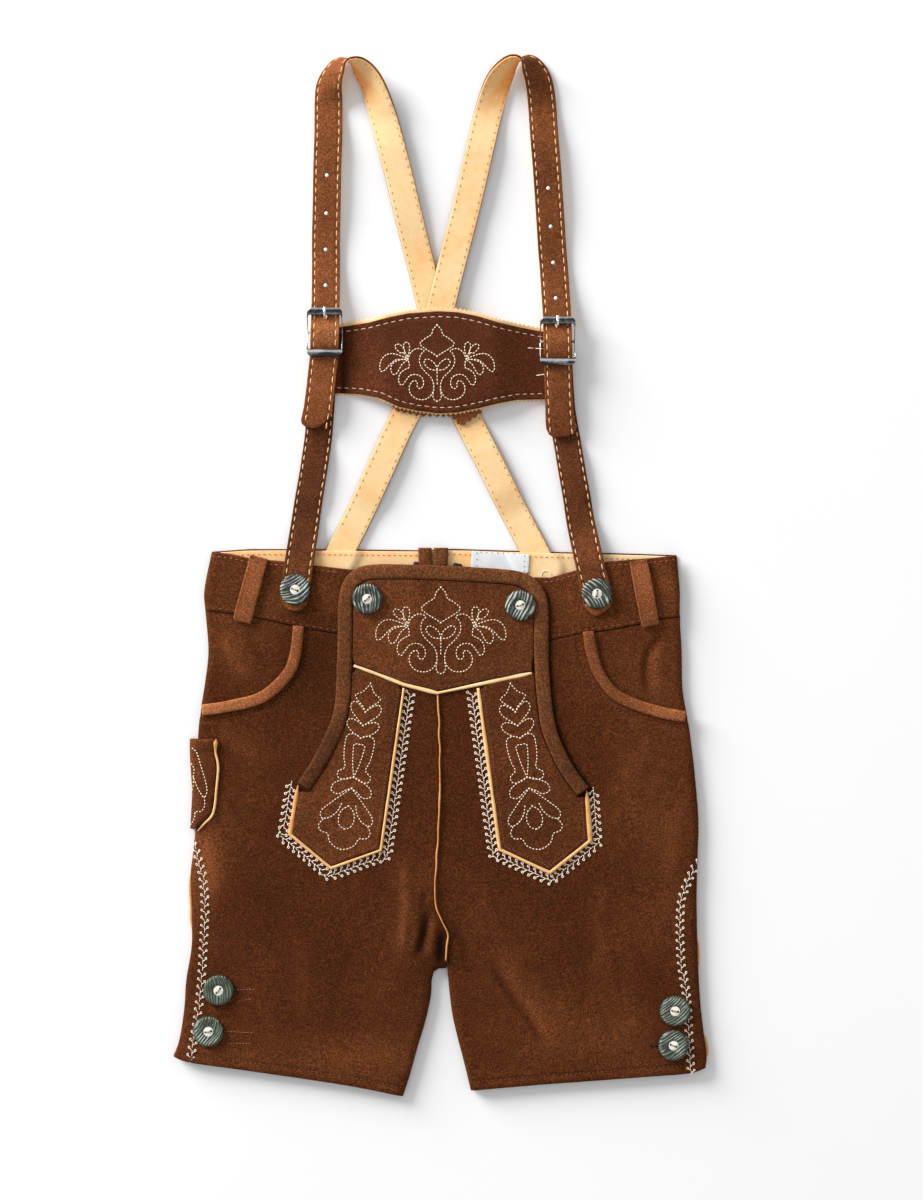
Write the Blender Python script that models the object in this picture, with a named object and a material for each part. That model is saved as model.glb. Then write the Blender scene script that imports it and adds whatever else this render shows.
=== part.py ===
"""Suede lederhosen with braces, laid flat on their back.

Tables are in millimetres and the meshes in metres. +Y points from the hems to the shoulders, and +Z
points up from the surface that the garment lies on. Left and right are the wearer's own, so the
wearer's right side is at -X.
"""

import math

import bmesh
import bpy
from mathutils import Vector
from mathutils.geometry import delaunay_2d_cdt

MM = 0.001

# Thicknesses and heights.
GAP = 0.3                 # between two pieces that touch
LAID_ON = 0.45            # between a faceted panel and what lies on it
SUEDE = 1.6               # one layer of suede
WAISTBAND = 2.0           # the doubled front waistband
FRONT_TOP = 6.2           # upper side of the front where it lies flat
WAIST_STEP = 0.8          # how much higher the front waistband lies
STEP_RUN = 15.0           # length over which the front rises to it
FOLD_RADIUS = 5.0         # rounding of the front along the sides and inner legs
SIDE_DROP = 2.2           # how far the front comes down at the side seams
INSEAM_DROP = 3.0         # and at the inner legs
SIDE_SEAT = 3.2           # underside of the front above the side piping
INSEAM_SEAT = 1.9         # underside of the front on the back at the inner legs

# Braces.
STRAP_WIDTH = 18.0
STRAP_HALF = 1.3          # half of the thickness, suede and lining together
STRAP_INNER = 0.15        # half of the gap between suede and lining
TIP_NARROWING = 0.6       # width of the free end's cut edge, as a share of the strap
SEWN_IN_HALF = 0.7        # the same half thickness where the strap is skived to be sewn in
BUTTON_STRAP = 2.0        # thickness of the lower straps
BUTTON_STRAP_TIP = [(0.0, 0.45), (3.0, 0.8), (8.0, 1.0)]   # distance from the tip, share of the width

# Trimmings.
BINDING_WIDTH, BINDING_HEIGHT = 10.0, 2.6
POCKET_BINDING_WIDTH, POCKET_BINDING_HEIGHT = 7.8, 2.2
PIPING_WIDTH, PIPING_HEIGHT = 2.4, 1.5
LOOP_WIDTH, LOOP_THICKNESS = 13.0, 2.0
BUTTON_RADIUS = 10.4
BUTTON_SIDES = 18
STRIP_THICKNESS = 1.4
BEARER_DROP = 0.8         # how much lower a pocket bearer lies than the front
LOOP_CLEARANCE = 1.6      # room under a belt loop's middle
FACING, FACING_BUMP = 1.0, 1.7   # thickness, and its rise over the strap ends
LABEL_THICKNESS = 0.5
PIPING_THICKNESS = 1.0    # of the side piping
PIPING_HIDDEN = -0.5      # how far the side piping reaches past the fold where it is hidden
BACK_SEAM = -26.0         # the back waistband's lower seam
PATCH_THICKNESS = 1.0
BAR_LINING, BAR_LINING_SHOWS = 1.0, 1.2
BAR_REACH, BAR_SLOPE = 69.0, 36.0   # where the chest bar meets the ground, and the length of its slope

MATERIALS = {  # name: colour, roughness, metallic
    "suede": ((0.10, 0.035, 0.014), 0.95, 0.0),
    "light_suede": ((0.19, 0.070, 0.028), 0.95, 0.0),
    "tan_leather": ((0.90, 0.60, 0.27), 0.6, 0.0),
    "label_cloth": ((0.85, 0.85, 0.83), 0.8, 0.0),
    "horn": ((0.06, 0.09, 0.08), 0.4, 0.0),
    "dark_chrome": ((0.12, 0.12, 0.13), 0.2, 1.0),
}

# Outlines, each a list of (x, y).
SIDE_RIGHT = [(-155.7, 17.0), (-160.8, -9.2), (-160.1, -23.5), (-158.1, -50.0), (-160.1, -70.4),
              (-162.4, -91.5), (-163.6, -111.2), (-165.6, -145.2), (-167.6, -180.0), (-170.2, -203.0),
              (-169.7, -223.4), (-169.4, -250.6), (-173.1, -274.4), (-174.6, -294.8),
              (-177.8, -315.2), (-181.9, -326.7)]
SIDE_LEFT = [(160.8, 14.6), (162.9, -9.2), (162.9, -27.5), (164.2, -50.0), (164.9, -77.2),
             (167.6, -101.0), (171.0, -131.6), (174.4, -165.6), (175.1, -190.0), (174.4, -220.0),
             (175.1, -254.0), (176.5, -284.6), (178.5, -305.0), (181.2, -325.4), (180.5, -333.5)]
HEM_RIGHT = [(-181.9, -326.7), (-170.3, -330.8), (-136.3, -335.6), (-67.0, -345.8), (-25.5, -353.9)]
HEM_LEFT = [(19.0, -347.8), (60.9, -344.4), (96.0, -342.4), (135.7, -339.0), (168.3, -336.7),
            (180.5, -333.5)]
INSEAM_RIGHT = [(-25.5, -353.9), (-18.0, -325.4), (-11.9, -305.0), (-7.1, -284.6), (-3.0, -272.5),
                (3.9, -265.6)]
INSEAM_LEFT = [(19.0, -347.8), (17.3, -335.6), (14.6, -325.4), (11.9, -315.2), (7.8, -294.8),
               (5.9, -277.0), (4.5, -265.6)]
CENTRE_SEAM = [(-2.0, -44.5), (-1.7, -79.2), (-0.3, -132.3), (-2.0, -182.6), (-3.4, -206.4),
               (-3.1, -223.4), (2.6, -240.4), (4.2, -252.0), (4.2, -264.5)]
WAIST_TOP = [(-155.7, 17.0), (-142.0, 15.3), (-130.3, 12.6), (-108.5, 10.5), (-83.5, 7.3),
             (-59.5, 4.6), (-2.4, 1.0), (74.5, -0.7), (91.5, 4.1), (113.6, 10.3), (143.8, 12.6),
             (160.8, 14.6)]
WAIST_SEAM = [(-160.1, -23.5), (-151.3, -23.9), (-127.7, -27.2), (-105.7, -32.3), (-86.0, -36.4),
              (-70.4, -38.9), (-2.4, -44.5), (75.1, -43.2), (95.3, -38.9), (117.2, -35.9),
              (135.4, -32.2), (149.9, -28.6), (162.9, -27.4)]
BACK_TOP = [(-155.7, 17.0), (-129.7, 18.8), (-82.6, 18.7), (-15.3, 18.0), (8.5, 19.0),
            (60.9, 17.2), (131.6, 15.6), (160.8, 14.6)]
POCKET_RIGHT = [(-96.5, -34.5), (-98.8, -53.2), (-104.4, -67.0), (-121.2, -81.9), (-144.6, -88.3),
                (-162.2, -90.8)]
POCKET_LEFT = [(100.4, -38.2), (103.2, -52.9), (108.7, -67.5), (118.4, -79.6), (131.6, -86.7),
               (149.9, -92.3), (166.6, -95.4)]
FLAP_EDGE = [(-93.2, -143.1), (-83.3, -127.8), (-75.1, -111.9), (-69.4, -98.3), (-66.3, -81.9),
             (-65.4, -56.8), (-64.9, -39.8), (-64.6, -19.4), (-62.2, -7.1), (-56.8, -0.3),
             (-47.9, 2.9), (-27.5, 3.3), (-2.4, 2.7), (26.9, 1.1), (40.5, 0.2), (52.7, -1.4),
             (61.5, -5.8), (67.0, -13.9), (68.5, -24.1), (68.5, -43.2), (68.7, -56.8),
             (70.0, -77.9), (73.1, -101.0), (78.5, -116.3), (87.0, -132.6), (96.9, -146.2)]
CHEVRON = [(-58.9, -60.6), (-43.2, -66.3), (-25.0, -73.4), (-2.2, -79.2), (24.8, -73.5),
           (44.3, -69.3), (62.2, -65.6)]
STRIP_RIGHT = [(-25.2, -77.6), (-40.6, -186.0), (-74.5, -198.2), (-102.3, -175.1), (-97.4, -146.0)]
STRIP_LEFT = [(25.9, -77.6), (40.3, -185.5), (74.3, -201.3), (101.7, -179.5), (99.5, -149.6)]
BAR_TOP = [(-80.0, 168.4), (-64.7, 170.6), (-48.6, 172.7), (-35.1, 176.0), (-21.7, 178.7),
           (-1.5, 180.1), (11.9, 179.4), (25.4, 176.7), (38.8, 172.7), (52.3, 169.9),
           (67.3, 167.3), (80.0, 165.6)]
BAR_BOTTOM = [(-80.0, 125.0), (-69.0, 124.9), (-55.4, 124.2), (-41.8, 121.5), (-28.4, 115.3),
              (-15.0, 112.5), (-1.5, 110.8), (11.9, 111.5), (25.4, 114.2), (38.8, 117.5),
              (52.3, 120.2), (69.7, 120.9), (80.0, 121.2)]
PATCH = [(-28.0, 168.0), (-31.0, 132.0), (-31.0, 114.0), (-14.0, 110.4), (0.0, 110.0),
         (8.0, 110.0), (14.0, 103.4), (27.0, 112.0), (28.0, 132.0), (25.0, 168.0)]
LABEL = [(21.4, 17.6), (60.4, 15.0), (60.0, 3.0), (45.0, -4.0), (44.0, -9.2), (20.1, -9.2)]

# Where the side piping shows: the stretch's ends in y, and how far it stands out.
PIPING_SHOWS = {
    "right": [(-248.0, -196.0, 3.2)],
    "left": [(-268.0, -192.0, 2.6), (-330.0, -314.0, 2.2)],
}

# The knife pocket's inner edge: rows of y and x, from its mouth to its tip.
KNIFE_POCKET = [(-110.4, -153.9), (-118.7, -154.6), (-129.5, -152.6), (-145.9, -153.9),
                (-160.8, -156.0), (-166.6, -162.4), (-171.6, -167.0)]

# Soft folds of the front: the ends of the ridge, its half width and its height.
FOLDS = [
    {"start": (-26.0, -190.0), "end": (-22.0, -245.0), "width": 11.0, "height": 1.0},
    {"start": (-9.0, -212.0), "end": (-19.0, -262.0), "width": 8.0, "height": 1.2},
    {"start": (-40.0, -275.0), "end": (-30.0, -330.0), "width": 14.0, "height": 0.9},
    {"start": (47.0, -258.0), "end": (78.0, -318.0), "width": 10.0, "height": 1.4},
    {"start": (24.0, -270.0), "end": (40.0, -325.0), "width": 11.0, "height": 0.9},
    {"start": (122.0, -235.0), "end": (136.0, -312.0), "width": 16.0, "height": 1.0},
    {"start": (-128.0, -215.0), "end": (-112.0, -310.0), "width": 17.0, "height": 1.1},
    {"start": (-128.0, -118.0), "end": (-118.0, -168.0), "width": 16.0, "height": 0.9},
    {"start": (128.0, -120.0), "end": (134.0, -190.0), "width": 17.0, "height": 1.0},
]

# The long straps, from the free end through the buckle, over the shoulder and down the back. Columns:
# x, y, height of the middle over the surface, and the turn about the strap's own line in degrees,
# 0 with the suede up and 180 with the lining up. While the strap stands on edge its height comes
# from its width, and the height in the table is what is added.
STRAP_RIGHT = [
    (-85.3, 101.0, 4.5, 0), (-83.3, 112.1, 6.1, 0), (-82.2, 120.0, 6.9, 0), (-80.6, 135.0, 7.0, 0),
    (-79.0, 149.3, 7.7, 0), (-78.8, 154.3, 8.4, 0), (-78.6, 160.0, 9.8, 0), (-78.4, 165.9, 10.7, 0),
    (-78.3, 171.6, 10.1, 0), (-78.3, 177.4, 8.3, 0), (-78.2, 186.0, 6.8, 0), (-78.2, 198.0, 4.0, 0),
    (-78.2, 214.0, 1.9, 0),
    (-78.2, 230.0, 1.3, 0), (-77.6, 253.0, 1.3, 0), (-77.2, 276.4, 1.3, 0), (-76.5, 300.0, 1.3, 0),
    (-76.5, 318.0, 1.3, 0), (-76.3, 330.0, 1.3, 8), (-76.0, 337.6, 1.3, 22), (-74.4, 343.9, 1.3, 42),
    (-71.3, 349.0, 1.3, 62), (-67.0, 352.2, 1.3, 80), (-61.8, 352.9, 1.3, 96),
    (-56.6, 349.7, 1.3, 114), (-51.0, 343.6, 1.3, 134), (-46.6, 336.6, 1.3, 153),
    (-42.8, 326.4, 1.3, 169), (-37.4, 307.0, 1.3, 179), (-29.2, 276.4, 1.3, 180),
    (-22.8, 250.0, 1.3, 180), (-16.7, 225.4, 1.3, 180), (-9.9, 198.2, 1.3, 180),
    (-3.4, 171.0, 1.3, 180), (5.1, 137.0, 1.3, 180), (20.7, 103.0, 1.3, 180),
    (33.3, 78.0, 1.3, 180), (46.2, 52.0, 1.3, 180), (55.6, 34.0, 1.6, 180), (62.2, 21.4, 2.6, 180),
    (67.0, 12.0, 2.6, 180), (70.6, 5.0, 2.6, 180),
]
STRAP_LEFT = [
    (82.6, 94.9, 4.0, 0), (81.3, 105.7, 5.9, 0), (80.9, 114.0, 6.9, 0), (80.3, 129.0, 7.0, 0),
    (80.0, 142.5, 7.7, 0), (79.9, 148.2, 8.4, 0), (79.7, 153.9, 9.8, 0), (79.6, 159.8, 10.7, 0),
    (79.4, 165.5, 10.1, 0), (79.2, 171.3, 8.3, 0), (78.9, 180.0, 6.8, 0), (78.2, 192.0, 4.0, 0),
    (77.2, 208.0, 1.9, 0),
    (75.8, 225.4, 1.3, 0), (74.2, 250.0, 1.3, 0), (72.4, 276.4, 1.3, 0), (70.5, 300.0, 1.3, 0),
    (69.3, 320.0, 1.3, 4), (68.2, 331.5, 1.3, 18), (66.4, 341.4, 1.3, 40), (63.2, 347.9, 1.3, 62),
    (58.4, 352.2, 1.3, 82), (53.0, 352.7, 1.3, 98), (47.8, 350.4, 1.3, 116),
    (43.3, 345.2, 1.3, 136), (38.9, 336.3, 1.3, 155), (35.0, 324.0, 1.3, 170),
    (30.9, 309.1, 1.3, 179), (23.5, 276.4, 1.3, 180), (17.2, 250.0, 1.3, 180),
    (10.9, 225.4, 3.4, 180), (4.4, 200.0, 4.3, 180), (-3.4, 169.0, 4.3, 180),
    (-12.6, 137.0, 4.3, 180), (-20.0, 118.0, 3.1, 180), (-29.5, 99.0, 1.3, 180),
    (-40.0, 75.5, 1.3, 180), (-50.7, 52.0, 1.3, 180), (-60.0, 33.0, 1.6, 180),
    (-66.0, 21.4, 2.6, 180), (-70.3, 12.0, 2.6, 180), (-73.5, 5.0, 2.6, 180),
]
SKIVED_STATIONS = 4       # the last stations of a strap, thinned to be sewn in

# The button straps: x, y and the height of the underside. The last rows turn up round the buckle's bar.
BUTTON_STRAP_RIGHT = [
    (-99.9, -23.5, 7.6), (-98.7, -8.9, 7.6), (-97.2, 0.0, 7.6), (-95.8, 10.0, 7.5), (-94.2, 21.4, 5.4),
    (-92.4, 34.0, 2.2), (-90.9, 45.0, 0.3), (-89.3, 55.0, 0.0), (-86.4, 72.4, 0.0),
    (-84.2, 88.0, 0.0), (-83.0, 98.0, 0.3), (-82.0, 109.0, 1.9), (-81.2, 119.0, 3.0),
    (-80.4, 135.0, 3.0), (-79.2, 152.0, 3.0), (-78.3, 164.4, 3.0),
]
BUTTON_STRAP_LEFT = [
    (107.0, -26.9, 7.6), (106.1, -11.6, 7.6), (103.4, 0.0, 7.6), (101.0, 10.5, 7.5), (98.6, 21.4, 5.4),
    (96.0, 34.0, 2.2), (94.3, 44.0, 0.3), (92.9, 53.0, 0.0), (89.4, 72.4, 0.0), (86.9, 88.0, 0.0),
    (85.3, 97.0, 0.3), (83.5, 107.0, 1.9), (82.2, 116.0, 3.0), (81.2, 131.0, 3.0),
    (80.4, 146.0, 3.0), (79.7, 158.4, 3.0),
]

# Buckles.
BUCKLE_RIGHT = (-78.6, 165.9)
BUCKLE_LEFT = (79.6, 159.8)
FRAME_SIZE = (25.4, 33.2)
FRAME_BAR = (2.8, 5.0)    # width of the side bars and of the end bars
FRAME_CORNER = 3.2
FRAME_THICKNESS = 2.0
FRAME_RISE = 4.8          # how much higher the end bars lie than the middle bar
WIRE_BOTTOM = 5.3         # underside of the middle bar
WIRE = 1.6                # its thickness and width
WIRE_ROOM = 0.35          # between the middle bar and the strap turned round it
PRONG_RADIUS = 0.7
PRONG = [(-1.0, 7.95), (2.6, 7.95), (4.9, 8.9), (6.1, 10.9), (7.6, 12.6), (10.0, 13.1), (15.6, 13.1)]
PRONG_HOLE = (5.6, 2.1)   # how far the hole in the strap lies above the middle bar, and its radius

BUTTONS = {  # name: x, y and the height that its underside lies on, None for the front itself
    "strap_button_right": (-98.7, -8.9, 9.6),
    "strap_button_left": (106.1, -11.6, 9.6),
    "flap_button_right": (-49.8, -15.2, 9.05),
    "flap_button_left": (54.1, -19.5, 9.05),
    "leg_button_right_upper": (-150.9, -281.2, None),
    "leg_button_right_lower": (-157.7, -309.1, None),
    "leg_button_left_upper": (159.3, -295.2, None),
    "leg_button_left_lower": (158.3, -318.6, None),
}


# ---- shapes in the plane ----

def smooth_line(points, step):
    """Points about step apart on a smooth curve through the given ones, ends included."""
    line = []
    count = len(points)
    for index in range(count - 1):
        p0 = Vector(points[max(index - 1, 0)])
        p1 = Vector(points[index])
        p2 = Vector(points[index + 1])
        p3 = Vector(points[min(index + 2, count - 1)])
        pieces = max(1, round((p2 - p1).length / step))
        for piece in range(pieces):
            t = piece / pieces
            line.append(0.5 * ((2 * p1) + (p2 - p0) * t + (2 * p0 - 5 * p1 + 4 * p2 - p3) * t * t
                               + (3 * p1 - p0 - 3 * p2 + p3) * t ** 3))
    line.append(Vector(points[-1]))
    return line


def straight_line(points, step):
    """Points about step apart on the straight runs between the given ones."""
    line = []
    for start, end in zip(points, points[1:]):
        start, end = Vector(start), Vector(end)
        pieces = max(1, round((end - start).length / step))
        line.extend(start.lerp(end, piece / pieces) for piece in range(pieces))
    line.append(Vector(points[-1]))
    return line


def left_normals(line):
    """At each point, a vector to the left whose length keeps an offset parallel to both runs."""
    normals = []
    for index, point in enumerate(line):
        before = (point - line[index - 1]).normalized() if index > 0 else None
        after = (line[index + 1] - point).normalized() if index < len(line) - 1 else None
        before, after = before or after, after or before
        along = (before + after).normalized()
        left = Vector((-along.y, along.x))
        normals.append(left / max(0.4, left.dot(Vector((-after.y, after.x)))))
    return normals


def offset_line(line, distance):
    """The line moved to its left by a distance."""
    return [point + normal * distance for point, normal in zip(line, left_normals(line))]


def distance_to(point, line):
    """Shortest distance from a point to a line of short straight runs."""
    nearest = math.inf
    for start, end in zip(line, line[1:]):
        run = end - start
        t = max(0.0, min(1.0, (point - start).dot(run) / run.length_squared))
        nearest = min(nearest, (point - start - run * t).length)
    return nearest


def y_on(points, x):
    """The height of a line of (x, y) rows, sorted by x, above one x."""
    if x <= points[0][0]:
        return points[0][1]
    for (x0, y0), (x1, y1) in zip(points, points[1:]):
        if x <= x1:
            return y0 + (y1 - y0) * (x - x0) / (x1 - x0)
    return points[-1][1]


def is_inside(point, outline):
    """Whether a point lies inside a closed outline."""
    inside = False
    for a, b in zip(outline, outline[1:] + outline[:1]):
        if (a.y > point.y) != (b.y > point.y):
            if point.x < a.x + (b.x - a.x) * (point.y - a.y) / (b.y - a.y):
                inside = not inside
    return inside


def smooth_step(t):
    t = max(0.0, min(1.0, t))
    return t * t * (3 - 2 * t)


def pinked(line, depth, pitch):
    """A closed outline with a zigzag edge, its teeth standing out by depth."""
    closed = straight_line([*line, line[0]], pitch / 2)[:-1]
    if len(closed) % 2:
        closed.pop()
    normals = left_normals([closed[-1], *closed, closed[0]])[1:-1]
    return [point - normal * (depth if index % 2 else 0.0)
            for index, (point, normal) in enumerate(zip(closed, normals))]


# ---- the height of the front ----

SIDES = [smooth_line(SIDE_RIGHT, 12.0), smooth_line(SIDE_LEFT, 12.0)]
INSEAMS = [smooth_line(INSEAM_RIGHT, 12.0), smooth_line(INSEAM_LEFT, 12.0)]


def rounding(distance):
    """From 1 at a turned edge to 0 where the front is flat, along a quarter circle."""
    reach = max(0.0, 1 - distance / FOLD_RADIUS)
    return 1 - math.sqrt(1 - min(1.0, reach * reach))


def fold_height(point):
    height = 0.0
    for fold in FOLDS:
        start, end = Vector(fold["start"]), Vector(fold["end"])
        run = end - start
        t = (point - start).dot(run) / run.length_squared
        across = (point - start - run * t).length / fold["width"]
        if -0.3 < t < 1.3 and across < 3:
            fade = smooth_step((t + 0.3) / 0.5) * smooth_step((1.3 - t) / 0.5)
            height += fold["height"] * fade * math.exp(-across * across)
    return height


def front_top(x, y):
    """Height of the front's upper side at a place."""
    point = Vector((x, y))
    step = WAIST_STEP * smooth_step((y - y_on(WAIST_SEAM, x) + STEP_RUN) / STEP_RUN)
    side = min(distance_to(point, line) for line in SIDES)
    inseam = min(distance_to(point, line) for line in INSEAMS)
    drop = max(SIDE_DROP * rounding(side), INSEAM_DROP * rounding(inseam))
    return FRONT_TOP + step + fold_height(point) - drop


def front_bottom(x, y, thickness):
    """Height of the front's underside, which rests on the side piping or on the back at its edges."""
    point = Vector((x, y))
    near_side = min(distance_to(point, line) for line in SIDES) < 2 * FOLD_RADIUS
    seat = SIDE_SEAT if near_side else INSEAM_SEAT
    return max(front_top(x, y) - thickness, seat)


def on_front(rise):
    """The height of something that lies on the front, as a function of the place."""
    return lambda x, y: front_top(x, y) + LAID_ON + rise


# ---- building solids ----

def clear_scene():
    for obj in list(bpy.data.objects):
        bpy.data.objects.remove(obj)


def material(name):
    """The material of a sub-part, made the first time it is asked for."""
    found = bpy.data.materials.get(name)
    if found:
        return found
    colour, roughness, metallic = MATERIALS[name]
    made = bpy.data.materials.new(name)
    made.use_nodes = True
    shader = made.node_tree.nodes["Principled BSDF"]
    shader.inputs["Base Color"].default_value = (*colour, 1.0)
    shader.inputs["Roughness"].default_value = roughness
    shader.inputs["Metallic"].default_value = metallic
    made.diffuse_color = (*colour, 1.0)
    return made


def solid(name, points, faces, material_name):
    """One closed body from points in millimetres, its faces turned outwards."""
    mesh = bpy.data.meshes.new(name)
    bm = bmesh.new()
    verts = [bm.verts.new(Vector(point) * MM) for point in points]
    for face in faces:
        bm.faces.new([verts[index] for index in face])
    bmesh.ops.recalc_face_normals(bm, faces=bm.faces)
    bmesh.ops.triangulate(bm, faces=bm.faces)
    bm.to_mesh(mesh)
    bm.free()
    mesh.materials.append(material(material_name))
    obj = bpy.data.objects.new(name, mesh)
    bpy.context.collection.objects.link(obj)
    return obj


def loft(name, rings, material_name):
    """A body through rings of equal length, closed at both ends."""
    size = len(rings[0])
    points = [point for ring in rings for point in ring]
    faces = [list(range(size)), list(range(len(points) - size, len(points)))]
    for ring in range(len(rings) - 1):
        for side in range(size):
            a = ring * size + side
            b = ring * size + (side + 1) % size
            faces.append([a, b, b + size, a + size])
    return solid(name, points, faces, material_name)


def plate(name, outline, bottom, top, material_name, spacing=None, extra=(), holes=()):
    """A sheet over an outline, its two sides given as heights over the place."""
    loops = [list(outline), *[list(hole) for hole in holes]]
    flat = [point for loop in loops for point in loop]
    edges = []
    first = 0
    for loop in loops:
        edges += [(first + i, first + (i + 1) % len(loop)) for i in range(len(loop))]
        first += len(loop)
    inner = list(extra)
    if spacing:
        inner += grid_points(loops[0], spacing)
    rims = [loop + loop[:1] for loop in loops]
    clearance = 0.45 * spacing if spacing else 1.0
    kept = []
    for point in inner:
        room = clearance if point not in extra else 0.5
        apart = 0.4 * spacing if spacing and point not in extra else 0.8
        if is_inside(point, loops[0]) and min(distance_to(point, rim) for rim in rims) > room:
            if all((point - other).length > apart for other in kept):
                kept.append(point)
    flat += kept
    verts, _, triangles, _, _, _ = delaunay_2d_cdt(flat, edges, [], 0, 1e-6, True)
    faces = []
    for triangle in triangles:
        centre = sum((verts[i] for i in triangle), Vector((0.0, 0.0))) / 3
        if is_inside(centre, loops[0]) and not any(is_inside(centre, hole) for hole in loops[1:]):
            faces.append(list(triangle))
    count = len(verts)
    points = [(v.x, v.y, bottom(v.x, v.y)) for v in verts] + [(v.x, v.y, top(v.x, v.y)) for v in verts]
    upper = [[count + i for i in face] for face in faces]
    lower = [face[::-1] for face in faces]
    directed = {(face[i], face[(i + 1) % 3]) for face in faces for i in range(3)}
    walls = [[a, b, count + b, count + a] for a, b in directed if (b, a) not in directed]
    return solid(name, points, upper + lower + sorted(walls), material_name)


def grid_points(outline, spacing):
    """A staggered grid of points over the outline's box."""
    low_x, high_x = min(p.x for p in outline), max(p.x for p in outline)
    low_y, high_y = min(p.y for p in outline), max(p.y for p in outline)
    points = []
    for row in range(int((high_y - low_y) / (spacing * 0.87)) + 1):
        shift = spacing / 2 if row % 2 else 0.0
        for column in range(int((high_x - low_x) / spacing) + 2):
            points.append(Vector((low_x + column * spacing + shift, low_y + row * spacing * 0.87)))
    return points


def band(name, line, width, height, material_name, base=None):
    """A rounded strip that lies on the front along a line."""
    base = base or on_front(0.0)
    section = [(-0.5, 0.0), (0.5, 0.0), (0.47, 0.55), (0.28, 1.0), (-0.28, 1.0), (-0.47, 0.55)]
    rings = []
    for point, normal in zip(line, left_normals(line)):
        seat = max(base(*(point + normal * width * side)) for side in (-0.5, 0.0, 0.5))
        ring = []
        for across, up in section:
            place = point + normal * (width * across)
            low = base(place.x, place.y) if up == 0.0 else seat
            ring.append((place.x, place.y, low + height * up))
        rings.append(ring)
    return loft(name, rings, material_name)


def mirrored_pair(right, left):
    """Pairs of (side name, value), the wearer's right first."""
    return (("right", right), ("left", left))


# ---- legs ----

def edge_rows(line, inward):
    """Extra points that follow a turned edge, where the front's rounding needs them."""
    return [point for distance in (1.2, 3.8) for point in offset_line(line, inward * distance)]


def panel_line(points, step=11.0):
    return smooth_line(points, step)


def joined(*lines):
    """One closed outline from lines that meet end to start."""
    outline = []
    for line in lines:
        for point in line:
            if not outline or (point - outline[-1]).length > 0.6:
                outline.append(point)
    while (outline[0] - outline[-1]).length < 0.6:
        outline.pop()
    return outline


def below(line, y):
    return [point for point in line if point.y < y]


def leg_front(side):
    """A leg's front, from the waist seam to the hem, with its pocket mouth cut away."""
    sign = -1 if side == "right" else 1
    seam = offset_line(panel_line(CENTRE_SEAM), sign * GAP / 2)
    hem, inseam, edge, mouth = {
        "right": (HEM_RIGHT, INSEAM_RIGHT, SIDE_RIGHT, POCKET_RIGHT),
        "left": (HEM_LEFT, INSEAM_LEFT, SIDE_LEFT, POCKET_LEFT),
    }[side]
    mouth = panel_line(mouth, 7.0)
    waist = [Vector((x, y - GAP)) for x, y in WAIST_SEAM if abs(x) < abs(mouth[0].x) - 4 and x * sign > 3]
    waist.sort(key=lambda point: sign * point.x)
    seam[0].y = y_on(WAIST_SEAM, seam[0].x) - GAP
    mouth[0].y = y_on(WAIST_SEAM, mouth[0].x) - GAP
    side_line = below(panel_line(edge), mouth[-1].y - 4)
    hem_line = panel_line(hem, 13.0)
    if side == "left":
        hem_line = hem_line[::-1]
    outline = joined(seam[:1], waist, mouth, side_line, hem_line, panel_line(inseam), seam[::-1][:-1])
    inward = 1 if side == "right" else -1
    extra = edge_rows(side_line, inward) + edge_rows(panel_line(inseam), inward)
    return plate(f"front_{side}", outline, lambda x, y: front_bottom(x, y, SUEDE), front_top, "suede",
                 spacing=13.0, extra=extra)


def leg_back(side):
    """A leg's back, flat on the ground, a little shorter than the front at the hem."""
    sign = -1 if side == "right" else 1
    seam = offset_line(panel_line(CENTRE_SEAM, 14.0), sign * GAP / 2)
    hem, inseam, edge = {
        "right": (HEM_RIGHT, INSEAM_RIGHT, SIDE_RIGHT),
        "left": (HEM_LEFT, INSEAM_LEFT, SIDE_LEFT),
    }[side]
    seam[0].y = BACK_SEAM - GAP
    side_line = below(panel_line(edge, 14.0), BACK_SEAM - 6)
    corner = Vector((side_line[0].x, BACK_SEAM - GAP))
    hem_line = [point + Vector((0.0, 0.8)) for point in panel_line(hem, 16.0)]
    if side == "left":
        hem_line = hem_line[::-1]
    side_line = [point for point in side_line if point.y > hem_line[0].y + 2]
    inner = [point for point in panel_line(inseam, 14.0) if point.y > hem_line[-1].y + 2]
    outline = joined(seam[:1], [corner], side_line, hem_line, inner, seam[::-1][:-1])
    return plate(f"back_{side}", outline, lambda x, y: 0.0, lambda x, y: SUEDE, "suede")


def pocket_bearer(side):
    """The part of the front that shows inside a pocket mouth, a little lower than the rest."""
    mouth, edge = (POCKET_RIGHT, SIDE_RIGHT) if side == "right" else (POCKET_LEFT, SIDE_LEFT)
    outward = -1 if side == "right" else 1
    mouth = offset_line(panel_line(mouth, 7.0), outward * GAP)
    mouth[0].y = y_on(WAIST_SEAM, mouth[0].x) - GAP
    side_line = [p for p in panel_line(edge) if mouth[-1].y + 2 < p.y < y_on(WAIST_SEAM, p.x) - 2]
    waist = [Vector((x, y - GAP)) for x, y in WAIST_SEAM if abs(x) > abs(mouth[0].x) + 2]
    waist = [point for point in waist if point.x * outward > 0]
    waist.sort(key=lambda point: -abs(point.x))
    outline = joined(mouth, side_line[::-1], waist)
    return plate(f"pocket_bearer_{side}", outline,
                 lambda x, y: front_bottom(x, y, SUEDE + BEARER_DROP),
                 lambda x, y: front_top(x, y) - BEARER_DROP, "suede",
                 spacing=12.0, extra=edge_rows(side_line, -outward))


def pocket_binding(side):
    line = panel_line(POCKET_RIGHT if side == "right" else POCKET_LEFT, 7.0)
    line[0] = line[0] + Vector((0.0, 1.0))
    return band(f"pocket_binding_{side}", line, POCKET_BINDING_WIDTH, POCKET_BINDING_HEIGHT,
                "light_suede", base=lambda x, y: front_top(x, y) + LAID_ON)


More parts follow.
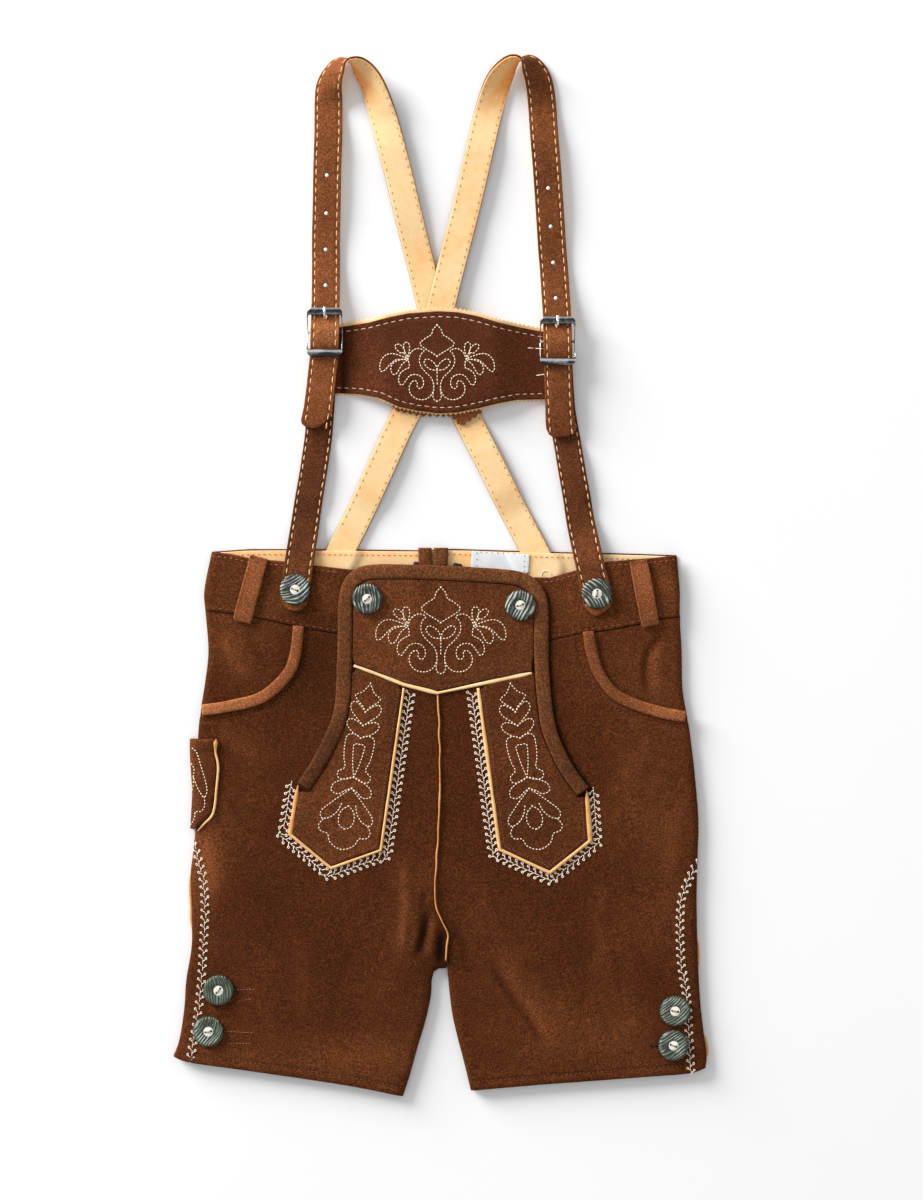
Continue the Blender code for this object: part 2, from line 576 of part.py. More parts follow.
def side_piping(side):
    """A flat strip between front and back along the side seam, which shows where the seam turns out."""
    outward = -1 if side == "right" else 1
    line = [p for p in panel_line(SIDE_RIGHT if side == "right" else SIDE_LEFT, 8.0) if p.y < -100]
    rim = []
    for point, normal in zip(line, left_normals(line)):
        reach = PIPING_HIDDEN
        for low, high, shows in PIPING_SHOWS[side]:
            middle, half = (low + high) / 2, (high - low) / 2
            reach = max(reach, PIPING_HIDDEN + shows * smooth_step(1.6 * (1 - abs(point.y - middle) / half)))
        rim.append(point + normal * outward * reach)
    rim[-1].y += 2.0
    inner = offset_line(line, -outward * 4.0)
    inner[-1].y += 3.0
    return plate(f"side_piping_{side}", joined(rim, inner[::-1]), lambda x, y: SUEDE + GAP,
                 lambda x, y: SUEDE + GAP + PIPING_THICKNESS, "tan_leather")


# ---- waistband ----

def waistband_front(side):
    """Half of the front waistband, from the side fold to the middle behind the flap."""
    outward = -1 if side == "right" else 1
    middle = outward * GAP / 2
    ends = [p for p in panel_line(SIDE_RIGHT if side == "right" else SIDE_LEFT)
            if y_on(WAIST_SEAM, p.x) + 2 < p.y < y_on(WAIST_TOP, p.x) - 2]
    top = [Vector(p) for p in WAIST_TOP if p[0] * outward > 3]
    seam = [Vector(p) for p in WAIST_SEAM if p[0] * outward > 3]
    top.sort(key=lambda point: abs(point.x))
    seam.sort(key=lambda point: -abs(point.x))
    top.insert(0, Vector((middle, y_on(WAIST_TOP, middle))))
    seam.append(Vector((middle, y_on(WAIST_SEAM, middle))))
    outline = joined(straight_line(top, 14.0), ends, straight_line(seam, 14.0))
    return plate(f"waistband_front_{side}", outline, lambda x, y: front_bottom(x, y, WAISTBAND),
                 front_top, "suede", spacing=13.0, extra=edge_rows(ends, -outward))


def waistband_back():
    """The back waistband, flat on the ground."""
    top = [Vector(p) for p in BACK_TOP]
    right = [Vector((-160.6, -9.2)), Vector((-160.0, BACK_SEAM))]
    left = [Vector((162.7, BACK_SEAM)), Vector((162.7, -9.2))]
    outline = straight_line([*top[::-1], *right, *left], 20.0)
    return plate("waistband_back", outline, lambda x, y: 0.0, lambda x, y: SUEDE, "suede")


def strap_ends():
    """The sewn-in ends of the long straps, as lines on the back waistband."""
    return [[Vector(row[:2]) for row in table[-3:]] for table in (STRAP_RIGHT, STRAP_LEFT)]


def facing_bottom(x, y, margin=0.0):
    """The facing's underside, which rises over the strap ends sewn in beneath it."""
    near = min(distance_to(Vector((x, y)), line) for line in strap_ends()) - margin
    return SUEDE + GAP + FACING_BUMP * smooth_step((15.0 - near) / 4.0)


def facing_top(x, y):
    return facing_bottom(x, y) + FACING


def label_bottom(x, y):
    """The label's underside, which rises over the facing's bump a little before it."""
    return facing_bottom(x, y, margin=5.0) + FACING + LAID_ON


def waistband_facing():
    top = straight_line([(x, y_on(BACK_TOP, x) - 1.0) for x in range(-150, 157, 17)], 9.0)
    bottom = straight_line([(156.0, -19.0), (-150.0, -19.0)], 14.0)
    around = [point for line in strap_ends() for distance in (-13.0, -9.5, 0.0, 9.5, 13.0)
              for point in offset_line(straight_line(line, 6.0), distance)]
    return plate("waistband_facing", joined(top, bottom), facing_bottom, facing_top, "tan_leather",
                 spacing=13.0, extra=around)


def label():
    """A bare cloth label on the facing."""
    outline = straight_line([*LABEL, LABEL[0]], 5.0)[:-1]
    return plate("label", outline, label_bottom, lambda x, y: label_bottom(x, y) + LABEL_THICKNESS,
                 "label_cloth", spacing=6.0)


def back_tab(side, x):
    """A folded tab of suede that stands up at the middle of the back."""
    half, rise = 4.5, 2.6
    low = SUEDE + GAP + FACING + GAP
    section = [(-1.0, 0.35), (-0.75, 0.0), (0.75, 0.0), (1.0, 0.35), (1.0, 0.7), (0.7, 1.0),
               (-0.7, 1.0), (-1.0, 0.7)]
    rings = [[(x + half * across, y, low + rise * up) for across, up in section]
             for y in (6.0, 12.0, 19.6)]
    return loft(f"back_tab_{side}", rings, "suede")


def belt_loop(side):
    """A loop that stands clear of the waistband between its sewn ends."""
    ends = {"right": [(-123.1, 13.3), (-135.0, -30.9)], "left": [(134.3, 10.9), (142.8, -33.7)]}[side]
    line = straight_line(ends, 6.4)
    rings = []
    for index, (point, normal) in enumerate(zip(line, left_normals(line))):
        clear = LOOP_CLEARANCE * smooth_step(3.0 * min(index, len(line) - 1 - index) / (len(line) - 1))
        ring = []
        for across, up in ((-0.5, 0.0), (0.5, 0.0), (0.5, 0.7), (0.4, 1.0), (-0.4, 1.0), (-0.5, 0.7)):
            place = point + normal * (LOOP_WIDTH * across)
            low = front_top(place.x, place.y) + LAID_ON + clear
            ring.append((place.x, place.y, low + LOOP_THICKNESS * up))
        rings.append(ring)
    return loft(f"belt_loop_{side}", rings, "light_suede")


# ---- flap ----

def flap_line():
    return smooth_line(FLAP_EDGE, 8.0)


def inside_flap():
    """The line just inside the flap's binding, carried a little past both of its ends."""
    line = flap_line()
    first = line[0] + (line[0] - line[1]).normalized()
    last = line[-1] + (line[-1] - line[-2]).normalized()
    return offset_line([first, *line, last], -(BINDING_WIDTH / 2 + GAP))


def piping_side(line, side):
    """A line beside a piping, on its left (1) or right (-1)."""
    return offset_line(line, side * (PIPING_WIDTH / 2 + GAP))


def flap_yoke():
    chevron = piping_side(straight_line(CHEVRON, 9.0), 1)
    rim = [point for point in inside_flap() if point.y > -56.0]
    return plate("flap_yoke", joined(rim, chevron[::-1]), on_front(0.0), on_front(SUEDE), "suede",
                 spacing=13.0)


def flap_strip(side):
    """One of the two embroidered strips, between its piping, the binding and the chevron seam."""
    piping, inner_side = (STRIP_RIGHT, -1) if side == "right" else (STRIP_LEFT, 1)
    rim = piping_side(straight_line(piping, 10.0), inner_side)
    binding = [p for p in inside_flap() if p.y < -64.5 and p.x * inner_side > 0]
    chevron = [p for p in piping_side(straight_line(CHEVRON, 9.0), -1)
               if 28.0 < p.x * inner_side < 58.5]
    if side == "left":
        binding, chevron = binding[::-1], chevron[::-1]
    return plate(f"flap_strip_{side}", joined(rim, binding, chevron), on_front(0.0),
                 on_front(STRIP_THICKNESS), "suede", spacing=13.0)


def pipings():
    """The tan strips that edge the chevron, the two strips and the centre seam."""
    band("chevron_piping", straight_line(CHEVRON, 9.0), PIPING_WIDTH, PIPING_HEIGHT, "tan_leather")
    for side, line in mirrored_pair(STRIP_RIGHT, STRIP_LEFT):
        band(f"strip_piping_{side}", straight_line(line, 10.0), PIPING_WIDTH, PIPING_HEIGHT,
             "tan_leather")
    centre = [point for point in smooth_line(CENTRE_SEAM, 9.0) if -263.0 < point.y < -82.0]
    band("centre_piping", centre, PIPING_WIDTH, PIPING_HEIGHT, "tan_leather")


# ---- knife pocket ----

def knife_pocket():
    """The knife pocket on the right leg, which wraps round the side fold to its own back edge."""
    side = sorted((y, x) for x, y in SIDE_RIGHT)
    rings = []
    for y, inner in KNIFE_POCKET:
        edge = y_on(side, y)
        width = inner - edge
        flat = front_top(edge + 9.0, y)
        outer = [(inner, flat + 2.1), (edge + width * 0.4, flat + 2.2), (edge + width * 0.12, flat + 1.6),
                 (edge - 1.4, flat - 0.6), (edge - 2.4, 3.2), (edge - 2.2, 0.4)]
        under = [(edge - 0.5, 0.4), (edge - 0.5, 3.2), (edge - 0.5, 4.6),
                 (edge + width * 0.16, flat + LAID_ON), (edge + width * 0.4, flat + LAID_ON),
                 (inner, flat + LAID_ON)]
        rings.append([(x, y, z) for x, z in outer + under])
    loft("knife_pocket", rings, "light_suede")
    rim = [Vector((inner + PIPING_WIDTH / 2 + GAP, y)) for y, inner in KNIFE_POCKET[:-2]]
    rim += [Vector((inner + 1.6, y - 1.6)) for y, inner in KNIFE_POCKET[-2:]]
    band("knife_pocket_piping", rim, PIPING_WIDTH, PIPING_HEIGHT + 0.6, "tan_leather")


# ---- braces ----

def strap_layer(name, side, table, low, high, material_name):
    """One leather of a long strap, between two heights of its thickness, as a turning ribbon."""
    outward = 1 if side == "right" else -1
    line = [Vector(row[:2]) for row in table]
    rings = []
    for index, ((x, y, rise, degrees), normal) in enumerate(zip(table, left_normals(line))):
        turn = math.radians(degrees)
        flat, upright = math.cos(turn), math.sin(turn)
        left = normal.normalized().to_3d()
        width = left * flat - Vector((0.0, 0.0, upright * outward))
        face = left * upright * outward + Vector((0.0, 0.0, flat))
        half_width = STRAP_WIDTH / 2 * (TIP_NARROWING if index == 0 else 1.0)
        middle = Vector((x, y, rise + half_width * upright))
        levels = (low, high)
        if index >= len(table) - SKIVED_STATIONS:
            levels = [max(-SEWN_IN_HALF, min(SEWN_IN_HALF, level)) for level in levels]
        rings.append([middle + width * (half_width * across) + face * levels[level]
                      for across, level in ((-1, 0), (1, 0), (1, 1), (-1, 1))])
    return loft(name, rings, material_name)


def long_strap(side):
    """A strap of suede on a tan lining, from its free end through the buckle to the back waist."""
    table, buckle = (STRAP_RIGHT, BUCKLE_RIGHT) if side == "right" else (STRAP_LEFT, BUCKLE_LEFT)
    outer = strap_layer(f"strap_{side}", side, table, STRAP_INNER, STRAP_HALF, "light_suede")
    lining = strap_layer(f"strap_lining_{side}", side, table, -STRAP_HALF, -STRAP_INNER, "tan_leather")
    hole = cylinder(f"prong_hole_{side}", (buckle[0], buckle[1] + PRONG_HOLE[0], 10.0), PRONG_HOLE[1])
    for layer in (outer, lining):
        cut = layer.modifiers.new("prong hole", "BOOLEAN")
        cut.operation = "DIFFERENCE"
        cut.object = hole


def cylinder(name, centre, radius):
    """A cutter that stands upright through a strap."""
    rings = [[(centre[0] + radius * math.cos(a), centre[1] + radius * math.sin(a), z)
              for a in (2 * math.pi * step / 12 for step in range(12))]
             for z in (centre[2] - 4.0, centre[2] + 4.0)]
    cutter = loft(name, rings, "suede")
    cutter.hide_render = True
    cutter.display_type = "WIRE"
    return cutter


def button_strap(side):
    """A lower strap, from its button on the waistband to the buckle's middle bar, which it turns round."""
    table, buckle = ((BUTTON_STRAP_RIGHT, BUCKLE_RIGHT) if side == "right"
                     else (BUTTON_STRAP_LEFT, BUCKLE_LEFT))
    line = [Vector(row[:2]) for row in table]
    rings = []
    into = (line[1] - line[0]).normalized()
    stations = [(line[0] + into * back, table[0][2], narrow) for back, narrow in BUTTON_STRAP_TIP]
    stations += [(place, row[2], 1.0) for place, row in zip(line[1:], table[1:])]
    places = [place for place, _, _ in stations]
    for (place, low, narrow), normal in zip(stations, left_normals(places)):
        half = STRAP_WIDTH / 2 * narrow
        left, right = place + normal * half, place - normal * half
        rings.append([(right.x, right.y, low), (left.x, left.y, low),
                      (left.x, left.y, low + BUTTON_STRAP), (right.x, right.y, low + BUTTON_STRAP)])
    centre_y, centre_z = buckle[1], WIRE_BOTTOM + WIRE / 2
    inner = WIRE / 2 + WIRE_ROOM
    for angle in (-90, -45, 0):
        a = math.radians(angle)
        near = (centre_y + inner * math.cos(a), centre_z + inner * math.sin(a))
        far = (centre_y + (inner + BUTTON_STRAP) * math.cos(a),
               centre_z + (inner + BUTTON_STRAP) * math.sin(a))
        half = STRAP_WIDTH / 2
        rings.append([(buckle[0] + half, *far), (buckle[0] - half, *far),
                      (buckle[0] - half, *near), (buckle[0] + half, *near)])
    return loft(f"button_strap_{side}", rings, "light_suede")


def rectangle(centre, half_width, low, high, corner=0.0):
    """A closed outline, counterclockwise, with its corners cut off."""
    x, y = centre
    rows = [(-1, low, 0, 1), (-1, low, 1, 0), (1, low, 1, 0), (1, low, 0, 1),
            (1, high, 0, 1), (1, high, 1, 0), (-1, high, 1, 0), (-1, high, 0, 1)]
    points = []
    for side, level, in_x, in_y in rows:
        inward = 1 if level == low else -1
        point = Vector((x + side * (half_width - corner * in_x), y + level + inward * corner * in_y))
        if not points or (point - points[-1]).length > 0.01:
            points.append(point)
    if (points[0] - points[-1]).length < 0.01:
        points.pop()
    return points


def buckle(side):
    """A saddle-shaped frame with a low middle bar, and its prong."""
    centre = BUCKLE_RIGHT if side == "right" else BUCKLE_LEFT
    half_width, half_height = FRAME_SIZE[0] / 2, FRAME_SIZE[1] / 2
    outline = rectangle(centre, half_width, -half_height, half_height, FRAME_CORNER)
    outline = straight_line([*outline, outline[0]], 3.6)[:-1]
    window = half_width - FRAME_BAR[0]
    holes = []
    for low, high in ((WIRE / 2, half_height - FRAME_BAR[1]), (FRAME_BAR[1] - half_height, -WIRE / 2)):
        hole = rectangle(centre, window, low, high)
        holes.append(straight_line([*hole, hole[0]], 3.6)[:-1])

    def low_side(x, y):
        return WIRE_BOTTOM + FRAME_RISE * smooth_step((abs(y - centre[1]) - 1.2) / 9.6)

    def high_side(x, y):
        middle = smooth_step((3.0 - abs(y - centre[1])) / 2.0)
        return low_side(x, y) + FRAME_THICKNESS + (WIRE - FRAME_THICKNESS) * middle

    plate(f"buckle_{side}", outline, low_side, high_side, "dark_chrome", holes=holes)
    rings = []
    for index, (y, z) in enumerate(PRONG):
        before = Vector(PRONG[max(index - 1, 0)])
        after = Vector(PRONG[min(index + 1, len(PRONG) - 1)])
        along = (after - before).normalized()
        ring = []
        for step in range(8):
            a = 2 * math.pi * step / 8
            up = PRONG_RADIUS * math.sin(a)
            ring.append((centre[0] + PRONG_RADIUS * math.cos(a), centre[1] + y - along.y * up,
                         z + along.x * up))
        rings.append(ring)
    loft(f"buckle_prong_{side}", rings, "dark_chrome")


def crossing_height(y):
    """Top of the upper strap where the long straps cross."""
    rows = sorted((row[1], row[2]) for row in STRAP_LEFT if row[3] == 180)
    return y_on(rows, y) + STRAP_HALF


def patch_bottom(x, y):
    return crossing_height(y) + 2 * GAP


def bar_bottom(x, y):
    """Underside of the chest bar's lining: over the crossing in the middle, on the ground at its ends."""
    return (patch_bottom(x, y) + PATCH_THICKNESS + LAID_ON) * smooth_step((BAR_REACH - abs(x)) / BAR_SLOPE)


def chest():
    """The crossing patch and the embroidered chest bar on its pinked lining."""
    patch = pinked([Vector(point) for point in PATCH], 1.6, 4.4)
    plate("crossing_patch", patch, patch_bottom, lambda x, y: patch_bottom(x, y) + PATCH_THICKNESS,
          "light_suede")
    outline = [Vector(point) for point in [*BAR_BOTTOM, *BAR_TOP[::-1]]]
    bar = straight_line([*outline, outline[0]], 6.0)[:-1]
    slope = [Vector((side * (BAR_REACH - BAR_SLOPE + 6.0 * column), 117.0 + 13.0 * row))
             for side in (-1, 1) for column in range(7) for row in range(5)]
    ring = [outline[-1], *outline, outline[0]]
    wider = offset_line(ring, -BAR_LINING_SHOWS)[1:-1]
    lining = pinked(wider, 1.3, 4.2)
    plate("chest_bar_lining", lining, bar_bottom, lambda x, y: bar_bottom(x, y) + BAR_LINING,
          "tan_leather", spacing=13.0, extra=slope)
    plate("chest_bar", bar, lambda x, y: bar_bottom(x, y) + BAR_LINING + GAP,
          lambda x, y: bar_bottom(x, y) + BAR_LINING + GAP + SUEDE, "suede", spacing=13.0, extra=slope)


# ---- buttons ----

def buttons():
    """Turned horn buttons with a shallow dish round the eye."""
    profile = [(8.8, 0.0), (BUTTON_RADIUS, 1.3), (BUTTON_RADIUS - 0.3, 2.5), (8.6, 3.3), (4.4, 2.9),
               (3.4, 2.3)]
    for name, (x, y, seat) in BUTTONS.items():
        if seat is None:
            seat = max(front_top(x + BUTTON_RADIUS * math.cos(a), y + BUTTON_RADIUS * math.sin(a))
                       for a in range(8))
        low = seat + GAP
        rings = [[(x + radius * math.cos(a), y + radius * math.sin(a), low + z)
                  for a in (2 * math.pi * step / BUTTON_SIDES for step in range(BUTTON_SIDES))]
                 for radius, z in profile]
        loft(name, rings, "horn")


def main():
    clear_scene()
    for side in ("right", "left"):
        leg_front(side)
        leg_back(side)
        pocket_bearer(side)
        pocket_binding(side)
        side_piping(side)
        waistband_front(side)
        belt_loop(side)
        flap_strip(side)
        long_strap(side)
        button_strap(side)
        buckle(side)
    waistband_back()
    waistband_facing()
    label()
    back_tab("right", -10.0)
    back_tab("left", 0.6)
    flap_yoke()
    band("flap_binding", flap_line(), BINDING_WIDTH, BINDING_HEIGHT, "light_suede")
    pipings()
    knife_pocket()
    chest()
    buttons()


main()
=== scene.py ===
# Suede lederhosen with braces, laid flat on their back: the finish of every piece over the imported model.
# Tables and sizes are in millimetres and meshes in metres. +Y points from the hems to the shoulders and
# +Z up from the floor. Left and right are the wearer's own, so the wearer's right side is at -X.
import math

import bpy
import numpy as np
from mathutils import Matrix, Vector
from mathutils.bvhtree import BVHTree
from mathutils.geometry import delaunay_2d_cdt


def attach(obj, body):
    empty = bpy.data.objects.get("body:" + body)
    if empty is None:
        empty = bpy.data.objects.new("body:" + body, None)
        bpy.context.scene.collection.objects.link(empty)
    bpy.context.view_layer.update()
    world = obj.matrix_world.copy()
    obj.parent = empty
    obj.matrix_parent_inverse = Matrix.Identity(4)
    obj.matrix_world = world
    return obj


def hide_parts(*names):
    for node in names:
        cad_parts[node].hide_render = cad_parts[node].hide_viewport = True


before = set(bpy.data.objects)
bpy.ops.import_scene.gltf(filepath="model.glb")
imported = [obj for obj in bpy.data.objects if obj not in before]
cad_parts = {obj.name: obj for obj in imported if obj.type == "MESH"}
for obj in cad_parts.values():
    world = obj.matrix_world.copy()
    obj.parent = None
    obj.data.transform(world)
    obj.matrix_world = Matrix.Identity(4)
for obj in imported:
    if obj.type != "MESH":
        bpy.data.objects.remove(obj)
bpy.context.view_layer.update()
scene = bpy.context.scene
mm = 0.001
gap = 0.3                     # between two pieces that touch
laidOn = 0.45                 # between the front and what lies on it
print("frame loaded:", len(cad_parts), "nodes")


# Lines in the plane are arrays with a row for each point.

def smoothLine(points, step):
    # A smooth curve through rows of any number of columns, ends included.
    rows = np.array(points, float)
    padded = np.vstack([rows[:1], rows, rows[-1:]])
    line = []
    for p0, p1, p2, p3 in zip(padded, padded[1:], padded[2:], padded[3:]):
        pieces = max(1, round(float(np.linalg.norm((p2 - p1)[:2])) / step))
        t = (np.arange(pieces) / pieces)[:, None]
        line.append(0.5 * (2 * p1 + (p2 - p0) * t + (2 * p0 - 5 * p1 + 4 * p2 - p3) * t ** 2
                           + (3 * p1 - p0 - 3 * p2 + p3) * t ** 3))
    line.append(rows[-1:])
    return np.vstack(line)


def straightLine(points, step):
    rows = np.array(points, float)
    line = []
    for start, end in zip(rows, rows[1:]):
        pieces = max(1, round(float(np.linalg.norm((end - start)[:2])) / step))
        line.append(start + (end - start) * (np.arange(pieces) / pieces)[:, None])
    line.append(rows[-1:])
    return np.vstack(line)


def closed(loop):
    return np.vstack([loop, loop[:1]])


def alongLine(line):
    # Distance walked at each point.
    return np.concatenate([[0.0], np.cumsum(np.linalg.norm(np.diff(line, axis=0), axis=1))])


def unitRows(rows):
    return rows / np.linalg.norm(rows, axis=1)[:, None]


def leftNormals(line):
    # To the left at each point, longer at corners so that an offset stays parallel to both runs.
    runs = np.diff(line[:, :2], axis=0)
    runs = runs / np.maximum(np.linalg.norm(runs, axis=1), 1e-9)[:, None]
    before, after = np.vstack([runs[:1], runs]), np.vstack([runs, runs[-1:]])
    along = before + after
    along = along / np.maximum(np.linalg.norm(along, axis=1), 1e-9)[:, None]
    left = np.column_stack([-along[:, 1], along[:, 0]])
    share = left[:, 0] * -after[:, 1] + left[:, 1] * after[:, 0]
    return left / np.maximum(share, 0.4)[:, None]


def offsetLine(line, distance):
    return line[:, :2] + leftNormals(line) * distance


def offsetLoop(loop, distance):
    around = np.vstack([loop[-1:], loop, loop[:1]])
    return offsetLine(around, distance)[1:-1]


def loopArea(loop):
    x, y = loop[:, 0], loop[:, 1]
    return 0.5 * float(np.sum(x * np.roll(y, -1) - np.roll(x, -1) * y))


def turnedLeft(loop):
    return loop if loopArea(loop) > 0 else loop[::-1]


def nearestOn(points, line):
    # Distance from each point to the line, and how far along the line it is, from 0 to 1.
    starts, runs = line[:-1, :2], np.diff(line[:, :2], axis=0)
    lengths = np.maximum((runs ** 2).sum(1), 1e-12)
    walked = alongLine(line[:, :2])
    distance, share = np.empty(len(points)), np.empty(len(points))
    block = max(1, 2_000_000 // len(starts))
    for first in range(0, len(points), block):
        away = points[first:first + block, None, :2] - starts[None]
        t = np.clip((away * runs).sum(2) / lengths, 0, 1)
        off = np.sqrt(((away - runs * t[..., None]) ** 2).sum(2))
        best = off.argmin(1)
        row = np.arange(len(best))
        distance[first:first + block] = off[row, best]
        place = walked[best] + t[row, best] * (walked[best + 1] - walked[best])
        share[first:first + block] = place / max(walked[-1], 1e-9)
    return distance, share


def distanceTo(points, line):
    return nearestOn(points, line)[0]


def nearestOf(points, lines):
    # Distance to the nearest of several lines.
    return np.min([distanceTo(points, line) for line in lines], axis=0)


def isInside(points, loop):
    inside = np.zeros(len(points), bool)
    for a, b in zip(loop, np.roll(loop, -1, axis=0)):
        if a[1] != b[1]:
            crosses = (a[1] > points[:, 1]) != (b[1] > points[:, 1])
            inside ^= crosses & (points[:, 0] < a[0] + (b[0] - a[0]) * (points[:, 1] - a[1]) / (b[1] - a[1]))
    return inside


def onTable(points, x):
    rows = sorted(points)
    return np.interp(x, [row[0] for row in rows], [row[1] for row in rows])


def smoothStep(t):
    t = np.clip(t, 0.0, 1.0)
    return t * t * (3 - 2 * t)


def hill(distance, width):
    # 1 at no distance, falling softly to nothing over about twice the width.
    return np.exp(-(distance / width) ** 2)


def aroundRing(count):
    return np.linspace(0, 2 * math.pi, count + 1)[:-1]


def joined(*lines):
    # One outline from lines that meet end to start, without the doubled ends.
    outline = []
    for line in lines:
        for point in line:
            if not outline or math.dist(point[:2], outline[-1]) > 0.3:
                outline.append(tuple(point[:2]))
    while math.dist(outline[0], outline[-1]) < 0.3:
        outline.pop()
    return np.array(outline)


def softNoise(x, y, size, seed=0.0):
    # Smooth lumps about size across, from -1 to 1.
    u, v = np.asarray(x, float) / size, np.asarray(y, float) / size
    i, j = np.floor(u), np.floor(v)
    f, g = u - i, v - j
    f, g = f * f * (3 - 2 * f), g * g * (3 - 2 * g)

    def corner(a, b):
        wave = np.sin(a * 12.9898 + b * 78.233 + seed * 37.719) * 43758.5453
        return (wave - np.floor(wave)) * 2 - 1

    low = corner(i, j) * (1 - f) + corner(i + 1, j) * f
    high = corner(i, j + 1) * (1 - f) + corner(i + 1, j + 1) * f
    return low * (1 - g) + high * g


# The garment's outlines, the same as in its source.
garment = {
    "sideRight": [(-155.7, 17), (-160.8, -9.2), (-160.1, -23.5), (-158.1, -50), (-160.1, -70.4),
                  (-163.4, -91.5), (-165.2, -111.2), (-165.6, -145.2), (-167.6, -180), (-170.2, -203),
                  (-169.7, -223.4), (-169.4, -250.6), (-173.1, -274.4), (-174.6, -294.8),
                  (-177.8, -315.2), (-181.9, -326.7)],
    "sideLeft": [(160.8, 14.6), (162.9, -9.2), (162.9, -27.5), (164.2, -50), (164.9, -77.2),
                 (169, -101), (172.8, -131.6), (175.6, -165.6), (175.1, -190), (174.4, -220),
                 (175.1, -254), (176.5, -284.6), (178.5, -305), (181.2, -325.4), (180.5, -333.5)],
    "hemRight": [(-181.9, -326.7), (-170.3, -330.8), (-136.3, -335.6), (-67, -345.8), (-25.5, -353.9)],
    "hemLeft": [(20.6, -350), (60.9, -346.4), (96, -343.8), (135.7, -340.8), (168.3, -338.2),
                (180.5, -334.4)],
    "inseamRight": [(-25.5, -353.9), (-21, -340), (-15.8, -321.2), (-10.5, -303.6), (-6.6, -286),
                    (-6, -275), (-4.6, -269.4), (-1.6, -267.2), (3.9, -266.8)],
    "inseamLeft": [(20.6, -350), (18, -339), (14.6, -325.4), (11.9, -315.2), (8, -298),
                   (5.9, -281), (4.6, -266.8)],
    "centreSeam": [(-2, -44.5), (-1.7, -79.2), (-0.3, -132.3), (-2, -182.6), (-3.4, -206.4),
                   (-3, -223.4), (0.4, -232.6), (4.8, -243), (4.3, -252), (3.9, -264.5)],
    "waistTop": [(-155.7, 17), (-142, 15.3), (-130.3, 12.6), (-108.5, 10.5), (-83.5, 7.3),
                 (-59.5, 4.6), (-2.4, 1), (74.5, -0.7), (91.5, 4.1), (113.6, 10.3), (143.8, 12.6),
                 (160.8, 14.6)],
    "waistSeam": [(-160.1, -23.5), (-151.3, -23.9), (-127.7, -27.2), (-105.7, -32.3), (-86, -36.4),
                  (-70.4, -38.9), (-2.4, -44.5), (75.1, -43.2), (95.3, -38.9), (117.2, -35.9),
                  (135.4, -32.2), (149.9, -28.6), (162.9, -27.4)],
    "backTop": [(-155.7, 17), (-129.7, 18.8), (-82.6, 18.7), (-15.3, 18), (8.5, 19),
                (60.9, 17.2), (131.6, 15.6), (160.8, 14.6)],
    "pocketRight": [(-96.5, -34.5), (-98.8, -53.2), (-104.4, -67), (-121.2, -81.9), (-144.6, -88.3),
                    (-162.2, -90.8)],
    "pocketLeft": [(100.4, -38.2), (103.2, -52.9), (108.7, -67.5), (118.4, -79.6), (131.6, -86.7),
                   (149.9, -92.3), (166.6, -95.4)],
    "flapEdge": [(-93.2, -143.1), (-83.3, -127.8), (-75.1, -111.9), (-69.4, -98.3), (-66.3, -81.9),
                 (-65.4, -56.8), (-64.9, -39.8), (-64.6, -19.4), (-62.2, -7.1), (-56.8, -0.3),
                 (-47.9, 2.9), (-27.5, 3.3), (-2.4, 2.7), (26.9, 1.1), (40.5, 0.2), (52.7, -1.4),
                 (61.5, -5.8), (67, -13.9), (68.5, -24.1), (68.5, -43.2), (68.7, -56.8),
                 (70, -77.9), (73.1, -101), (78.5, -116.3), (87, -132.6), (96.9, -146.2)],
    "chevron": [(-58.9, -60.6), (-43.2, -66.3), (-25, -73.4), (-2.2, -79.2), (24.8, -73.5),
                (44.3, -69.3), (62.2, -65.6)],
    "stripRight": [(-25.2, -77.6), (-40.6, -186), (-74.5, -198.2), (-102.3, -175.1), (-97.4, -146)],
    "stripLeft": [(25.9, -77.6), (40.3, -185.5), (74.3, -201.3), (101.7, -179.5), (99.5, -149.6)],
}

# Heights of the layers, the same as in its source.
layers = {
    "suede": 1.6, "waistband": 2, "bearerDrop": 0.8,
    "frontTop": 6.2, "waistStep": 0.8, "stepRun": 15, "foldRadius": 5,
    "sideDrop": 2.2, "inseamDrop": 3, "sideSeat": 3.2, "inseamSeat": 1.9,
}

